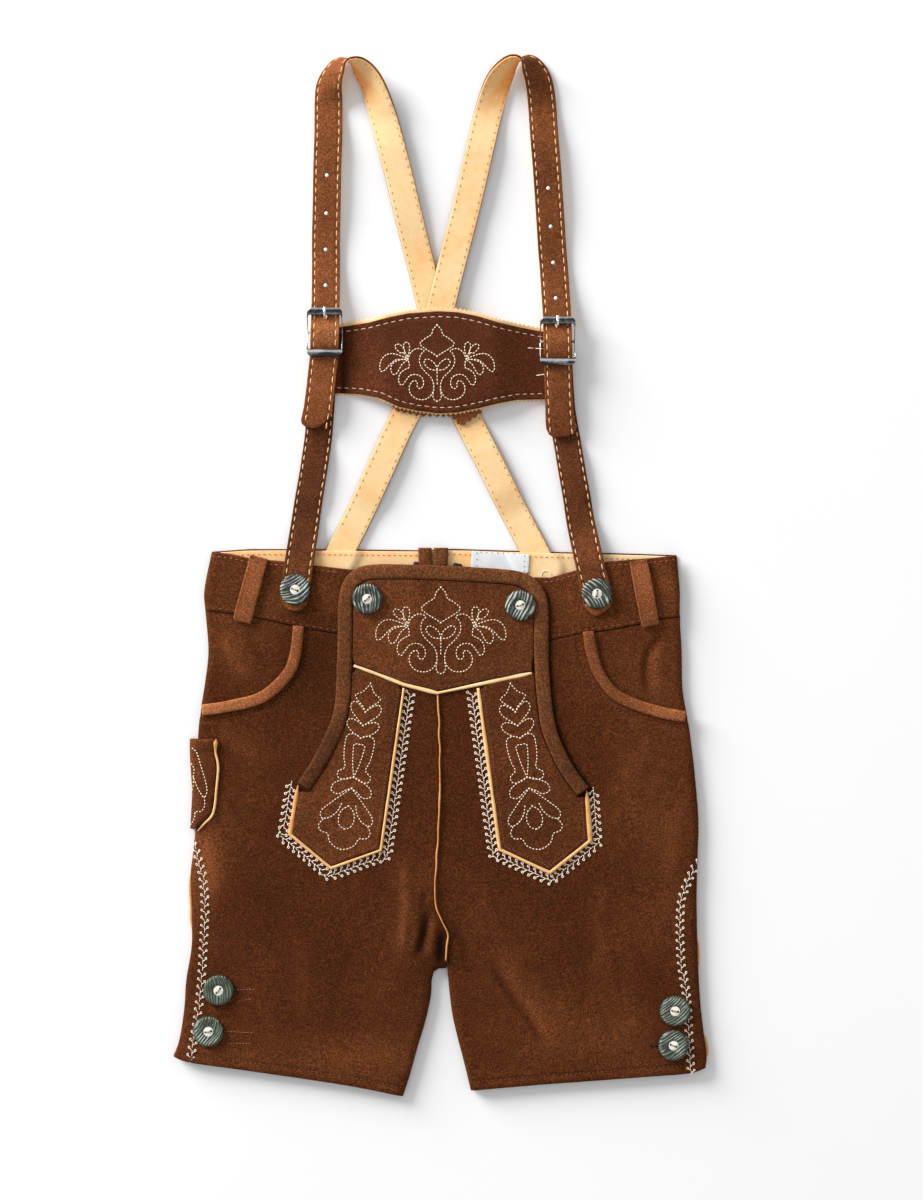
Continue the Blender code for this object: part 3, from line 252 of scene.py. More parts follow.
# Soft ridges and troughs of the front: width, height and line. The source has the nine folds too.
folds = [
    (11, 1, [(-26, -190), (-22, -245)]),
    (8, 1.2, [(-9, -212), (-19, -262)]),
    (14, 0.9, [(-40, -275), (-30, -330)]),
    (10, 1.4, [(47, -258), (78, -318)]),
    (11, 0.9, [(24, -270), (40, -325)]),
    (16, 1, [(122, -235), (136, -312)]),
    (17, 1.1, [(-128, -215), (-112, -310)]),
    (16, 0.9, [(-128, -118), (-118, -168)]),
    (17, 1, [(128, -120), (134, -190)]),
]
creases = [
    (2.4, -1.7, [(-8.6, -226), (-10.4, -240), (-16.8, -261)]),
    (3.4, 1.1, [(-5, -230), (-5.6, -246), (-9, -262)]),
    (2.4, -1.5, [(1.4, -240), (-0.2, -252), (-0.6, -266)]),
    (3.8, 1.1, [(-24.6, -190), (-23.4, -222), (-27.5, -262)]),
    (2, -1, [(-10.6, -212), (-11.4, -221), (-12.2, -228)]),
    (3.4, -0.6, [(8, -232), (16, -252), (20, -276)]),
    (3.6, 0.6, [(44, -262), (57, -285), (70, -304), (82, -322)]),
    (2.3, -0.9, [(30, -256), (34.6, -263.7), (49.1, -287.8), (62, -305.6), (74, -325)]),
    (2.4, -1.1, [(153, -37), (141, -52), (139.6, -72), (143.5, -86)]),
    (4.4, 0.8, [(150, -44), (147, -60), (148, -84)]),
    (4.6, 0.9, [(-148, -38), (-141, -54), (-128, -74)]),
    (3.4, -0.7, [(-133, -36), (-127, -48), (-118, -62)]),
    (6, 0.4, [(-154, -100), (-136, -112), (-120, -134)]),
    (5, 0.6, [(-160, -178), (-154, -200), (-152, -222)]),
    (6, 0.5, [(150, -110), (136, -124), (122, -146)]),
    (5, 0.5, [(166, -150), (160, -178), (158, -210)]),
    (5, -0.4, [(-56, -250), (-70, -280), (-76, -316)]),
    (6, 0.4, [(-96, -240), (-92, -270), (-96, -310)]),
    (6, -0.4, [(92, -236), (98, -270), (94, -312)]),
    (5, 0.4, [(112, -210), (108, -240), (116, -276)]),
]

# Broad tones of the nap and painted light and shade: middle, reach across and along, and how much lighter
# (or darker).
napAndPaintedLight = [
    ((-140, -50), (20, 26), 0.5),
    ((-90, -58), (18, 34), -0.45),
    ((-122, -232), (30, 44), -0.3),
    ((-75, -328), (80, 14), 0.65),
    ((152, -6), (9, 14), 0.9),
    ((-116, -16), (7, 12), 0.6),
    ((-80, -16), (10, 12), 0.55),
    ((-161, -192), (9, 34), 1),
    ((-165, -290), (14, 40), 0.3),
    ((86, -306), (60, 36), 0.4),
    ((152, -180), (22, 60), 0.35),
    ((140, -70), (30, 40), 0.4),
    ((16, -130), (12, 50), -0.2),
    ((1, -254), (4.5, 15), -1.3),
    ((-12.6, -244), (3.2, 14), -0.9),
    ((-118, 0), (44, 40), 0.45),
    ((120, -8), (60, 40), 0.5),
]

outward = {"right": -1, "left": 1}


def edgeOf(what, side, step):
    # One side's outline of that kind as a smooth line.
    return smoothLine(garment[what + side.capitalize()], step)


sides = [edgeOf("side", side, 4.0) for side in outward]
inseams = [edgeOf("inseam", side, 4.0) for side in outward]


def reliefOf(points, items):
    # What a list of folds adds to the height.
    height = np.zeros(len(points))
    for width, rise, corners in items:
        line = smoothLine(corners, 6.0)
        reach = width * 3 + 4
        box = (line.min(0) - reach <= points).all(1) & (points <= line.max(0) + reach).all(1)
        if not box.any():
            continue
        distance, share = nearestOn(points[box], line)
        fade = smoothStep(share / 0.3 + 0.15) * smoothStep((1 - share) / 0.3 + 0.15)
        height[box] += rise * fade * hill(distance, width)
    return height


def sourceFolds(points):
    # The nine folds as the source works them out, on straight lines that run on past their ends.
    height = np.zeros(len(points))
    for width, rise, (start, end) in folds:
        run = np.subtract(end, start)
        t = ((points - start) @ run) / (run @ run)
        across = np.linalg.norm(points - start - t[:, None] * run, axis=1)
        fade = smoothStep((t + 0.3) / 0.5) * smoothStep((1.3 - t) / 0.5)
        height += np.where((t > -0.3) & (t < 1.3), rise * fade * hill(across, width), 0.0)
    return height


def rounding(distance):
    reach = np.clip(1 - distance / layers["foldRadius"], 0.0, 1.0)
    return 1 - np.sqrt(1 - reach * reach)


def frontTop(x, y, fine=True):
    # Height of the front's upper side.
    x, y = np.atleast_1d(np.asarray(x, float)), np.atleast_1d(np.asarray(y, float))
    points = np.column_stack([x, y])
    step = layers["waistStep"] * smoothStep((y - onTable(garment["waistSeam"], x) + layers["stepRun"])
                                            / layers["stepRun"])
    side, inseam = nearestOf(points, sides), nearestOf(points, inseams)
    drop = np.maximum(layers["sideDrop"] * rounding(side), layers["inseamDrop"] * rounding(inseam))
    height = layers["frontTop"] + step + sourceFolds(points) - drop
    if fine:
        calm = smoothStep((np.minimum(side, inseam) - 1.0) / 7.0)
        height += calm * (reliefOf(points, creases) + 0.16 * softNoise(x, y, 17.0, 3.0)
                          + 0.07 * softNoise(x, y, 6.5, 5.0))
    return height


def frontBottom(x, y, thickness):
    points = np.column_stack([np.atleast_1d(x), np.atleast_1d(y)])
    side = nearestOf(points, sides)
    seat = np.where(side < 2 * layers["foldRadius"], layers["sideSeat"], layers["inseamSeat"])
    return np.maximum(frontTop(x, y) - thickness, seat)


def onFront(rise):
    return lambda x, y: frontTop(x, y) + laidOn + rise


farFlapEdge = straightLine([point for point in garment["flapEdge"] if point[0] > 52.0], 2.0)


def creaseShade(x, y):
    # Painted light on the crests and painted shade in the troughs, with broad tones and random tone.
    points = np.column_stack([x, y])
    shade = 0.6 * reliefOf(points, creases) + 0.16 * sourceFolds(points) + 0.08 * softNoise(x, y, 34.0, 9.0)
    for middle, reach, tone in napAndPaintedLight:
        away = (points - middle) / reach
        shade += tone * np.exp(-(away ** 2).sum(1))
    # Deepest where the far edge of the flap keeps the light off.
    away = np.maximum(distanceTo(points, farFlapEdge) - 5.0, 0.0)
    return shade - 1.7 * hill(away, 1.7) * smoothStep((-6.0 - y) / 12.0)


# Finishes.

def colour(red, green, blue):
    # An sRGB colour from 0 to 255 as the shader's linear one.
    def channel(value):
        value /= 255
        return value / 12.92 if value <= 0.04045 else ((value + 0.055) / 1.055) ** 2.4
    return (channel(red), channel(green), channel(blue), 1.0)


class Finish:
    # A new material, and its nodes. A setting is a value, or another node's output.

    def __init__(self, name):
        self.material = bpy.data.materials.new(name)
        self.material.use_nodes = True
        self.tree = self.material.node_tree
        self.shader = self.tree.nodes["Principled BSDF"]

    def feed(self, node, settings):
        for key, value in settings.items():
            if isinstance(value, bpy.types.NodeSocket):
                self.tree.links.new(value, node.inputs[key])
            else:
                node.inputs[key].default_value = value

    def add(self, kind, output, settings, **choices):
        node = self.tree.nodes.new("ShaderNode" + kind)
        for key, value in choices.items():
            setattr(node, key, value)
        self.feed(node, settings)
        return node.outputs[output]

    def place(self):
        return self.add("TexCoord", "Object", {})

    def attribute(self, name, output="Fac"):
        return self.add("Attribute", output, {}, attribute_name=name)

    def noise(self, place, size, detail, rough=0.5):
        # Noise whose lumps are about size millimetres across.
        return self.add("TexNoise", "Fac", {"Scale": 1000.0 / size, "Detail": detail, "Roughness": rough,
                                            "Vector": place})

    def spread(self, value, low, high, toLow=0.0, toHigh=1.0):
        return self.add("MapRange", "Result", {"From Min": low, "From Max": high, "To Min": toLow,
                                               "To Max": toHigh, "Value": value})

    def mix(self, factor, first, second):
        return self.add("Mix", 2, {0: factor, 6: first, 7: second}, data_type="RGBA")

    def math(self, operation, first, second):
        return self.add("Math", 0, {0: first, 1: second}, operation=operation)

    def bump(self, height, distance, strength=1.0):
        self.finish({"Normal": self.add("Bump", "Normal", {"Strength": strength, "Distance": distance * mm,
                                                           "Height": height})})

    def finish(self, settings):
        self.feed(self.shader, settings)
        return self.material


# deep, base and lit colours, size of blotches, patches and grain, strength of the grain, roughness,
# sheen and height of the bump
leathers = {
    "darkSuede": ((49, 22, 8), (76, 37, 14), (106, 58, 30), 60, 5, 0.95, 1.15, 0.95, 0.03, 0.26),
    "flapSuede": ((63, 31, 13), (89, 47, 23), (120, 68, 38), 48, 4.5, 0.95, 1.15, 0.95, 0.03, 0.26),
    "barSuede": ((56, 26, 13), (84, 43, 23), (112, 60, 36), 40, 4, 0.95, 1, 0.95, 0.03, 0.26),
    "edgeSuede": ((72, 40, 22), (102, 60, 34), (136, 84, 52), 20, 4, 1.05, 1.05, 0.95, 0.04, 0.26),
    "bindingSuede": ((104, 58, 32), (140, 82, 48), (172, 108, 68), 24, 4, 0.9, 1, 0.95, 0.04, 0.28),
    "strapSuede": ((90, 49, 27), (128, 74, 41), (160, 98, 59), 36, 3.5, 0.9, 1.05, 0.95, 0.04, 0.3),
    "tanLeather": ((250, 170, 92), (243, 204, 150), (251, 222, 180), 26, 5, 0.8, 0.08, 0.7, 0, 0.08),
    "piping": ((196, 124, 62), (238, 186, 126), (252, 220, 168), 14, 2.6, 0.8, 0.14, 0.65, 0, 0.14),
}


def leather(name):
    deep, base, lit, blotchSize, patchSize, grainSize, amount, roughness, sheen, height = leathers[name]
    look = Finish(name)
    place = look.place()
    blotch = look.noise(place, blotchSize, 2.0)
    patch = look.noise(place, patchSize, 4.0, 0.6)
    grain = look.noise(place, grainSize, 2.0, 0.7)
    # Nap lies in soft patches, and the "shade" attribute adds painted light and shade to it.
    napAndShade = look.math("ADD", look.spread(blotch, 0.3, 0.7, -0.22, 0.22),
                    look.spread(patch, 0.3, 0.7, -0.2, 0.2))
    napAndShade = look.math("ADD", napAndShade, look.attribute("shade"))
    ramp = look.tree.nodes.new("ShaderNodeValToRGB")
    look.feed(ramp, {"Fac": look.spread(napAndShade, -2.0, 2.0)})
    stops = ramp.color_ramp.elements
    # The ramp runs on past deep and lit, for the deepest painted shade and the brightest painted light.
    stops[0].color = tuple(channel * 0.3 for channel in colour(*deep)[:3]) + (1.0,)
    stops[1].color = tuple(min(1.5 * channel, 0.65 * channel + 0.35)
                           for channel in colour(*lit)[:3]) + (1.0,)
    for share, tone in ((0.25, deep), (0.5, base), (0.75, lit)):
        stops.new(share).color = colour(*tone)
    speckle = look.spread(grain, 0.42, 0.78, 1 - 0.38 * amount, 1 + 1.25 * amount)
    look.bump(look.math("ADD", grain, look.math("MULTIPLY", patch, 0.6)), height, 0.9)
    return look.finish({
        "Base Color": look.add("HueSaturation", "Color", {"Value": speckle, "Color": ramp.outputs["Color"]}),
        "Roughness": roughness, "Specular IOR Level": 0.08, "Sheen Weight": sheen, "Sheen Roughness": 0.6,
        "Sheen Tint": colour(225, 170, 120)})


def threadFinish(name, base, dark):
    look = Finish(name)
    twist = look.noise(look.place(), 0.9, 2.0)
    look.bump(twist, 0.15)
    return look.finish({"Base Color": look.mix(look.spread(twist, 0.35, 0.6), colour(*dark), colour(*base)),
                        "Roughness": 0.6, "Sheen Weight": 0.03})


def labelFinish():
    # A close satin weave.
    look = Finish("labelCloth")
    place = look.place()
    warp, weft = (look.add("TexWave", "Fac", {"Scale": scale, "Distortion": 0.4, "Vector": place},
                           bands_direction=direction) for direction, scale in (("X", 620.0), ("Y", 900.0)))
    weave = look.math("MULTIPLY", warp, weft)
    stain = look.math("ADD", look.noise(place, 9.0, 3.0), look.math("MULTIPLY", weave, 0.4))
    look.bump(weave, 0.12)
    return look.finish({
        "Base Color": look.mix(look.spread(stain, 0.3, 1.0), colour(222, 225, 228), colour(242, 243, 244)),
        "Roughness": 0.55, "Sheen Weight": 0.2})


def hornFinish(name, furrowScale, deepest, dark, ridgeTone):
    # Dark stained horn with its natural furrows, paler where their ridges are rubbed.
    look = Finish(name)
    streak = look.attribute("streak", "Vector")
    stretched = look.add("VectorMath", 0, {0: streak, 1: (1.0, 0.3, 1.0)}, operation="MULTIPLY")
    furrow = look.add("TexWave", "Fac", {"Scale": furrowScale, "Distortion": 9.0, "Detail": 1.5,
                                         "Vector": stretched})
    large, fine = look.noise(streak, 6.0, 1.0), look.noise(stretched, 0.6, 2.0)
    ridge = look.math("MULTIPLY", look.spread(furrow, 0.56, 0.95), look.spread(large, 0.4, 0.62, 0.1, 1.0))
    edge = look.spread(look.attribute("shade"), -1.0, 0.0, 0.5, 1.0)
    ground = look.mix(look.spread(fine, 0.35, 0.65), colour(*deepest), colour(*dark))
    look.bump(furrow, 0.5)
    return look.finish({
        "Base Color": look.mix(edge, colour(26, 31, 26), look.mix(ridge, ground, colour(*ridgeTone))),
        "Roughness": look.spread(fine, 0.3, 0.7, 0.3, 0.46)})


def plainFinish(name, base, roughness, size=2.0, change=0.12):
    # A hard finish with slight uneven tone.
    look = Finish(name)
    uneven = look.noise(look.place(), size, 3.0)
    low = tuple(max(0, round(channel * (1 - change))) for channel in base)
    return look.finish({
        "Base Color": look.mix(look.spread(uneven, 0.35, 0.65), colour(*low), colour(*base)),
        "Roughness": look.spread(uneven, 0.3, 0.7, roughness * 0.8, roughness * 1.2), "Metallic": 0.0})


def chromeFinish(dark, bright):
    # Polished metal with painted reflections, dark where "shade" is 0 and bright where it is 1.
    look = Finish("darkChrome")
    uneven = look.noise(look.place(), 3.0, 2.0)
    tone = look.math("ADD", look.attribute("shade"), look.spread(uneven, 0.3, 0.7, -0.12, 0.12))
    return look.finish({"Base Color": look.mix(look.spread(tone, 0.0, 1.0), colour(*dark), colour(*bright)),
                        "Roughness": look.spread(uneven, 0.3, 0.7, 0.12, 0.22), "Metallic": 1.0})


finishes = {name: leather(name) for name in leathers}
# the thread's own colour, and its colour between the twists
threads = {
    "creamThread": ((255, 248, 234), (236, 208, 182)), "ivoryThread": ((255, 243, 220), (238, 204, 166)),
    "strapThread": ((252, 208, 156), (214, 158, 106)), "barThread": ((236, 202, 180), (196, 152, 126)),
    "brownThread": ((70, 36, 16), (38, 19, 9)), "rustThread": ((166, 92, 62), (110, 58, 36)),
    "waistThread": ((142, 84, 50), (92, 48, 26)),
}
for name, tones in threads.items():
    finishes[name] = threadFinish(name, *tones)
# colour, roughness, and size and strength of the unevenness where they matter
plainLooks = {
    "needleHole": ((170, 116, 64), 0.9), "labelHole": ((128, 126, 132), 0.9),
    # painted shade: the dark marks of the buttonhole slits and the dark discs of the buttons' holes
    "darkThread": ((34, 17, 9), 0.95), "darkHole": ((22, 14, 10), 0.9),
    # painted light: the pale discs in the punched holes
    "paper": ((250, 250, 250), 0.9, 2.0, 0.01), "eye": ((252, 249, 240), 0.4, 1.6),
    "buttonThread": ((182, 140, 88), 0.7, 0.8), "floor": ((247, 247, 248), 0.9, 400.0, 0.003),
}
for name, look in plainLooks.items():
    finishes[name] = plainFinish(name, *look)
finishes["labelCloth"] = labelFinish()
finishes["horn"] = hornFinish("horn", 130.0, (28, 34, 30), (58, 66, 57), (188, 196, 182))
finishes["legHorn"] = hornFinish("legHorn", 165.0, (38, 46, 36), (74, 86, 68), (116, 128, 108))
# the dark and bright colours of the painted reflections
finishes["darkChrome"] = chromeFinish((62, 65, 68), (255, 255, 255))
print("finishes made:", len(finishes))


# Making meshes. Everything here is in millimetres until addPiece.


def standIn(name):
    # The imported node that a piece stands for, where only the name's "_piece" tells them apart.
    return [name.replace("_piece", "")] if "_piece" in name else []


def addPiece(name, points, faces, finish, stands=None, shade=None, sorts=None):
    # A finished mesh that rides on the garment. finish is one name or several, with sorts for each face.
    names = [finish] if isinstance(finish, str) else finish
    mesh = bpy.data.meshes.new(name)
    mesh.from_pydata((np.asarray(points, float) * mm).tolist(), [], [list(map(int, face)) for face in faces])
    for key in names:
        mesh.materials.append(finishes[key])
    if sorts is not None:
        mesh.polygons.foreach_set("material_index", np.asarray(sorts, np.int32))
    attribute = mesh.attributes.new("shade", "FLOAT", "POINT")
    if shade is not None:
        attribute.data.foreach_set("value", np.asarray(shade, np.float32))
    mesh.shade_smooth()
    mesh.update()
    piece = bpy.data.objects.new(name, mesh)
    scene.collection.objects.link(piece)
    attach(piece, "root")
    stands = standIn(name) if stands is None else stands
    if stands:
        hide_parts(*stands)
    return piece


def gridOver(loop, spacing):
    low, high = loop.min(0), loop.max(0)
    rows = np.arange(int((high[1] - low[1]) / (spacing * 0.87)) + 1)
    columns = np.arange(int((high[0] - low[0]) / spacing) + 2)
    x = low[0] + columns[None, :] * spacing + (rows[:, None] % 2) * spacing / 2
    y = np.broadcast_to(low[1] + rows[:, None] * spacing * 0.87, x.shape)
    return np.column_stack([x.ravel(), y.ravel()])


def triangulated(outline, spacing, edge, rows=(), holes=()):
    # Points and triangles over an outline, with rings along its edges, and each point's distance to an edge.
    loops = [straightLine(closed(turnedLeft(outline)), spacing)[:-1]]
    loops += [turnedLeft(hole)[::-1] for hole in holes]
    rims = [closed(loop) for loop in loops]
    inner = []
    for share in (0.08, 0.3, 0.62, 1.0):
        for loop in loops:
            ring = offsetLoop(loop, edge * share)
            inner.append(ring[nearestOf(ring, rims) > edge * share * 0.85])
    if len(rows):
        marked = np.vstack(rows)
        inner.append(marked[nearestOf(marked, rims) > edge + 0.2])
    grid = gridOver(loops[0], spacing)
    grid = grid[nearestOf(grid, rims) > edge + 0.45 * spacing]
    for row in rows:
        grid = grid[distanceTo(grid, row) > 0.5 * spacing]
    inner = np.vstack([*inner, grid])

    def keep(points):
        inside = isInside(points, loops[0])
        for hole in loops[1:]:
            inside &= ~isInside(points, hole)
        return inside

    flat = np.vstack([*loops, inner[keep(inner)]])
    edges, first = [], 0
    for loop in loops:
        edges += [(first + i, first + (i + 1) % len(loop)) for i in range(len(loop))]
        first += len(loop)
    made = delaunay_2d_cdt([Vector(point) for point in flat.tolist()], edges, [], 1, 1e-5, False)
    points, triangles = np.array([tuple(v) for v in made[0]]), np.array(made[2])
    triangles = triangles[keep(points[triangles].mean(1))]
    used, triangles = np.unique(triangles, return_inverse=True)
    points, triangles = points[used], triangles.reshape(-1, 3)
    a, b, c = (points[triangles[:, i]] for i in range(3))
    turned = (b[:, 0] - a[:, 0]) * (c[:, 1] - a[:, 1]) - (b[:, 1] - a[:, 1]) * (c[:, 0] - a[:, 0]) < 0
    triangles[turned] = triangles[turned][:, ::-1]
    return points, triangles, nearestOf(points, rims)


def twoSides(points, triangles, distance, edge, placed):
    # Closes a sheet: its sides meet at the rim along a half round. placed(points, k) gives both sides.
    reach = np.clip(1 - distance / edge, 0.0, 1.0)
    fullness = np.sqrt(np.maximum(0.0, 1 - reach * reach))
    upper, lower = placed(points, fullness)
    directed = {}
    for triangle in triangles.tolist():
        for i in range(3):
            directed[(triangle[i], triangle[(i + 1) % 3])] = True
    rim = np.zeros(len(points), bool)
    for a, b in directed:
        if (b, a) not in directed:
            rim[a] = rim[b] = True
    middle = (upper[rim] + lower[rim]) / 2
    upper[rim] = middle
    below = np.full(len(points), -1)
    below[rim] = np.flatnonzero(rim)
    below[~rim] = len(points) + np.arange((~rim).sum())
    verts = np.vstack([upper, lower[~rim]])
    faces = np.vstack([triangles, below[triangles][:, ::-1]])
    return verts, faces, np.concatenate([np.arange(len(points)), np.flatnonzero(~rim)])


def plate(name, outline, top, bottom, finish, stands=None, spacing=2.0, edge=0.8, rows=(), holes=(),
          shade=None, restsOn=None, rim=-0.1):
    # A sheet over an outline between two heights, its cut edges rounded.
    points, triangles, distance = triangulated(outline, spacing, edge, rows, holes)

    def placed(flat, fullness):
        x, y = flat[:, 0], flat[:, 1]
        high, low = top(x, y), bottom(x, y)
        middle, half = (high + low) / 2, (high - low) / 2 * fullness
        return np.column_stack([x, y, middle + half]), np.column_stack([x, y, middle - half])

    verts, faces, source = twoSides(points, triangles, distance, edge, placed)
    tone = np.zeros(len(points)) if shade is None else shade(points[:, 0], points[:, 1])
    tone = tone + rim * np.exp(-distance / 1.2)
    piece = addPiece(name, verts, faces, finish, stands, tone[source])
    if restsOn is not None:
        abs(loopArea(outline))
    return piece


def noiseAlong(walked, size, seed):
    return softNoise(walked, 0 * walked, size, seed)


def halfRing(count, widening, rising):
    # Across from 0.5 to -0.5 and up over a soft half round.
    turns = np.linspace(0.0, math.pi, count)
    across = 0.5 * np.sign(np.cos(turns)) * np.abs(np.cos(turns)) ** widening
    return across, np.sin(turns) ** rising


def band(name, line, width, height, finish, uneven=0.0, seed=1.0, flatness=0.55, shade=0.0):
    # A rounded strip laid on the front along a line, with soft shoulders.
    base = onFront(0.0)
    across, up = halfRing(13, flatness, flatness)
    walked = alongLine(line[:, :2])
    normals = leftNormals(line)
    wide = width * (1 + uneven * noiseAlong(walked, 9.0, seed))
    seats = [base(*(line[:, :2] + normals * (wide * side)[:, None]).T) for side in (-0.46, 0.0, 0.46)]
    crown = np.max(seats, axis=0) + height * (1 + 0.5 * uneven * noiseAlong(walked, 12.0, seed + 4))
    rings = np.empty((len(line), len(up), 3))
    for column, (side, rise) in enumerate(zip(across, up)):
        place = line[:, :2] + normals * (wide * side)[:, None]
        low = base(place[:, 0], place[:, 1])
        rings[:, column, :2] = place
        rings[:, column, 2] = low + (crown - low) * rise
    # Painted light over the crown and painted shade on the shoulders, with random tone along it.
    tone = np.zeros((len(line), 1)) + np.reshape(shade, (-1, 1)) + 0.22 * up - 0.16
    tone += 0.12 * noiseAlong(walked, 22.0, seed + 7)[:, None]
    return loft(name, rings, finish, tone)


def ribbon(name, path, outline, low, high, finish, spacing=2.0, edge=0.5, holes=(), rows=(), relief=None,
           shade=None):
    # A strap. The outline and its holes are distances walked and distances to the left, and path(walked)
    # gives the middle, the directions to the left and up, and how full the thickness is.
    points, triangles, distance = triangulated(outline, spacing, edge, rows, holes)

    def placed(flat, fullness):
        middle, across, up, full = path(flat[:, 0])
        bottom = low * full
        top = high * full + (0.0 if relief is None else relief(flat))
        centre, half = (top + bottom) / 2, (top - bottom) / 2 * fullness
        on = middle + across * flat[:, 1:2]
        return on + up * (centre + half)[:, None], on + up * (centre - half)[:, None]

    verts, faces, source = twoSides(points, triangles, distance, edge, placed)
    tone = np.zeros(len(points)) if shade is None else shade(points)
    tone = tone - 0.2 * np.exp(-distance / 0.9)
    a, b, c = (verts[faces[:, i]] for i in range(3))
    if float((a * np.cross(b, c)).sum()) < 0:
        faces = faces[:, ::-1]
    return addPiece(name, verts, faces, finish, shade=tone[source])


def lofted(rings):
    # Points and outward faces of a skin through rings of equal length, closed at both ends.
    rings = np.asarray(rings, float)
    count, size = rings.shape[:2]
    points = np.vstack([rings.reshape(-1, 3), rings[0].mean(0), rings[-1].mean(0)])
    faces = []
    for ring in range(count - 1):
        for side in range(size):
            a, b = ring * size + side, ring * size + (side + 1) % size
            faces.append([a, b, b + size, a + size])
    first, last = count * size, count * size + 1
    for side in range(size):
        following = (side + 1) % size
        faces.append([first, following, side])
        faces.append([last, (count - 1) * size + side, (count - 1) * size + following])
    volume, middle = 0.0, points.mean(0)
    for face in faces:
        corners = points[face] - middle
        for b, c in zip(corners[1:], corners[2:]):
            volume += float(np.dot(corners[0], np.cross(b, c)))
    return points, faces if volume > 0 else [face[::-1] for face in faces]


def loft(name, rings, finish, shade):
    points, faces = lofted(rings)
    shade = np.concatenate([np.asarray(shade, float).ravel(), [0.0, 0.0]])
    return addPiece(name, points, faces, finish, shade=shade)


# Legs.

bindings = {"pocketWidth": 7.8, "pocketHeight": 2.2, "flapWidth": 10.0, "flapHeight": 2.6}
backSeam = -26.0
sidePipings = {
    "thickness": 1.0, "hidden": -0.5, "top": -100.0, "width": 4.0,
    # the stretches where it shows: low, high and how far
    "right": [(-250.0, -194.0, 1.9)],
    "left": [(-270.0, -244.0, 1.7), (-330.0, -310.0, 2.0)],
}


legLook = {
    "hemRise": 6.0, "pocketRowAway": 8.2, "groove": 0.34, "grooveWidth": 0.9, "bulge": 0.25,
    # the painted highlight near each side seam: its middle, its reach and how much lighter it is
    "lighterSide": {"right": (-157.0, -190.0, 0.55), "left": (150.0, -190.0, 0.18)}, "lighterSideReach": (12.0, 34.0),
    "backHemRise": 0.8,
}
# the rows of stitches at each hem and beside each pocket
seamRows = {side: [offsetLine(edgeOf("hem", side, 3.0), legLook["hemRise"]),
                   offsetLine(edgeOf("pocket", side, 2.5), -sign * legLook["pocketRowAway"])]
            for side, sign in outward.items()}


def besideFlap(side):
    # Points in the shadow of the flap's far edge, for the tone there.
    if side == "right":
        return []
    lines = [offsetLine(farFlapEdge, sign * away) for sign in (-1, 1) for away in (5.2, 6.6, 8.0)]
    return [line for line in lines if line[:, 0].max() > farFlapEdge[:, 0].max() + 1.0]


def grooved(top, rows):
    # The same height with a shallow groove where thread pulls the suede in, and a soft swell beside it.
    def height(x, y):
        points = np.column_stack([x, y])
        away = nearestOf(points, rows)
        pull = legLook["groove"] * hill(away, legLook["grooveWidth"])
        swell = legLook["bulge"] * hill(away - 2.6, 1.6)
        return top(x, y) - pull + swell
    return height


def level(height):
    return lambda x, y: np.full(len(x), height)


def rowPoints(rows):
    return [piece for row in rows for piece in (row, offsetLine(row, 1.0), offsetLine(row, -1.0))]


def legLines(side, step):
    # The centre seam, side edge, hem and inner leg of one leg, each in its place round the outline.
    seam = offsetLine(smoothLine(garment["centreSeam"], step), outward[side] * gap / 2)
    hem = edgeOf("hem", side, step)[::-outward[side]]
    return seam, edgeOf("side", side, step), hem, edgeOf("inseam", side, step)


def frontLeg(side, trims):
    sign = outward[side]
    seam, edge, hem, inseam = legLines(side, 3.0)
    mouth = edgeOf("pocket", side, 3.0)
    waist = [(x, y - gap) for x, y in garment["waistSeam"] if abs(x) < abs(mouth[0][0]) - 4 and x * sign > 3]
    waist.sort(key=lambda point: sign * point[0])
    seam[0, 1] = onTable(garment["waistSeam"], seam[0, 0]) - gap
    mouth[0, 1] = onTable(garment["waistSeam"], mouth[0, 0]) - gap
    edge = edge[edge[:, 1] < mouth[-1, 1] - 4]
    outline = joined(seam[:1], waist, mouth, edge, hem, inseam, seam[::-1][:-1])
    rounded = [offsetLine(line, -sign * away) for line in (edge, inseam) for away in (1.6, 3.0)]

    def shade(x, y):
        away = nearestOf(np.column_stack([x, y]), seamRows[side])
        # Painted shade in the groove of each row of stitches, and painted light on the swell beside it.
        tone = creaseShade(x, y) + 0.12 * hill(away - 2.4, 1.6) - 0.2 * hill(away, 0.8)
        # A painted highlight near the side seam.
        middleX, middleY, lighter = legLook["lighterSide"][side]
        reachX, reachY = legLook["lighterSideReach"]
        return tone + lighter * hill(np.hypot((x - middleX) / reachX, (y - middleY) / reachY), 1.0)

    return plate(f"leg_front_{side}", outline, grooved(frontTop, seamRows[side]),
                 lambda x, y: frontBottom(x, y, layers["suede"]), "darkSuede", [f"front_{side}"],
                 rows=rowPoints(seamRows[side]) + rounded + besideFlap(side), shade=shade,
                 restsOn=[f"back_{side}"])


def backLeg(side):
    top = backSeam - gap
    seam, edge, hem, inseam = legLines(side, 5.0)
    seam[0, 1] = top
    hem = hem + (0.0, legLook["backHemRise"])
    edge = edge[(edge[:, 1] < backSeam - 6) & (edge[:, 1] > hem[0, 1] + 2)]
    inseam = inseam[inseam[:, 1] > hem[-1, 1] + 2]
    outline = joined(seam[:1], [(edge[0, 0], top)], edge, hem, inseam, seam[::-1][:-1])
    return plate(f"leg_back_{side}", outline, level(layers["suede"]), level(0.0), "darkSuede",
                 [f"back_{side}"], spacing=4.5, shade=lambda x, y: 0.14 * softNoise(x, y, 30.0, 2.0),
                 restsOn=["floor"])


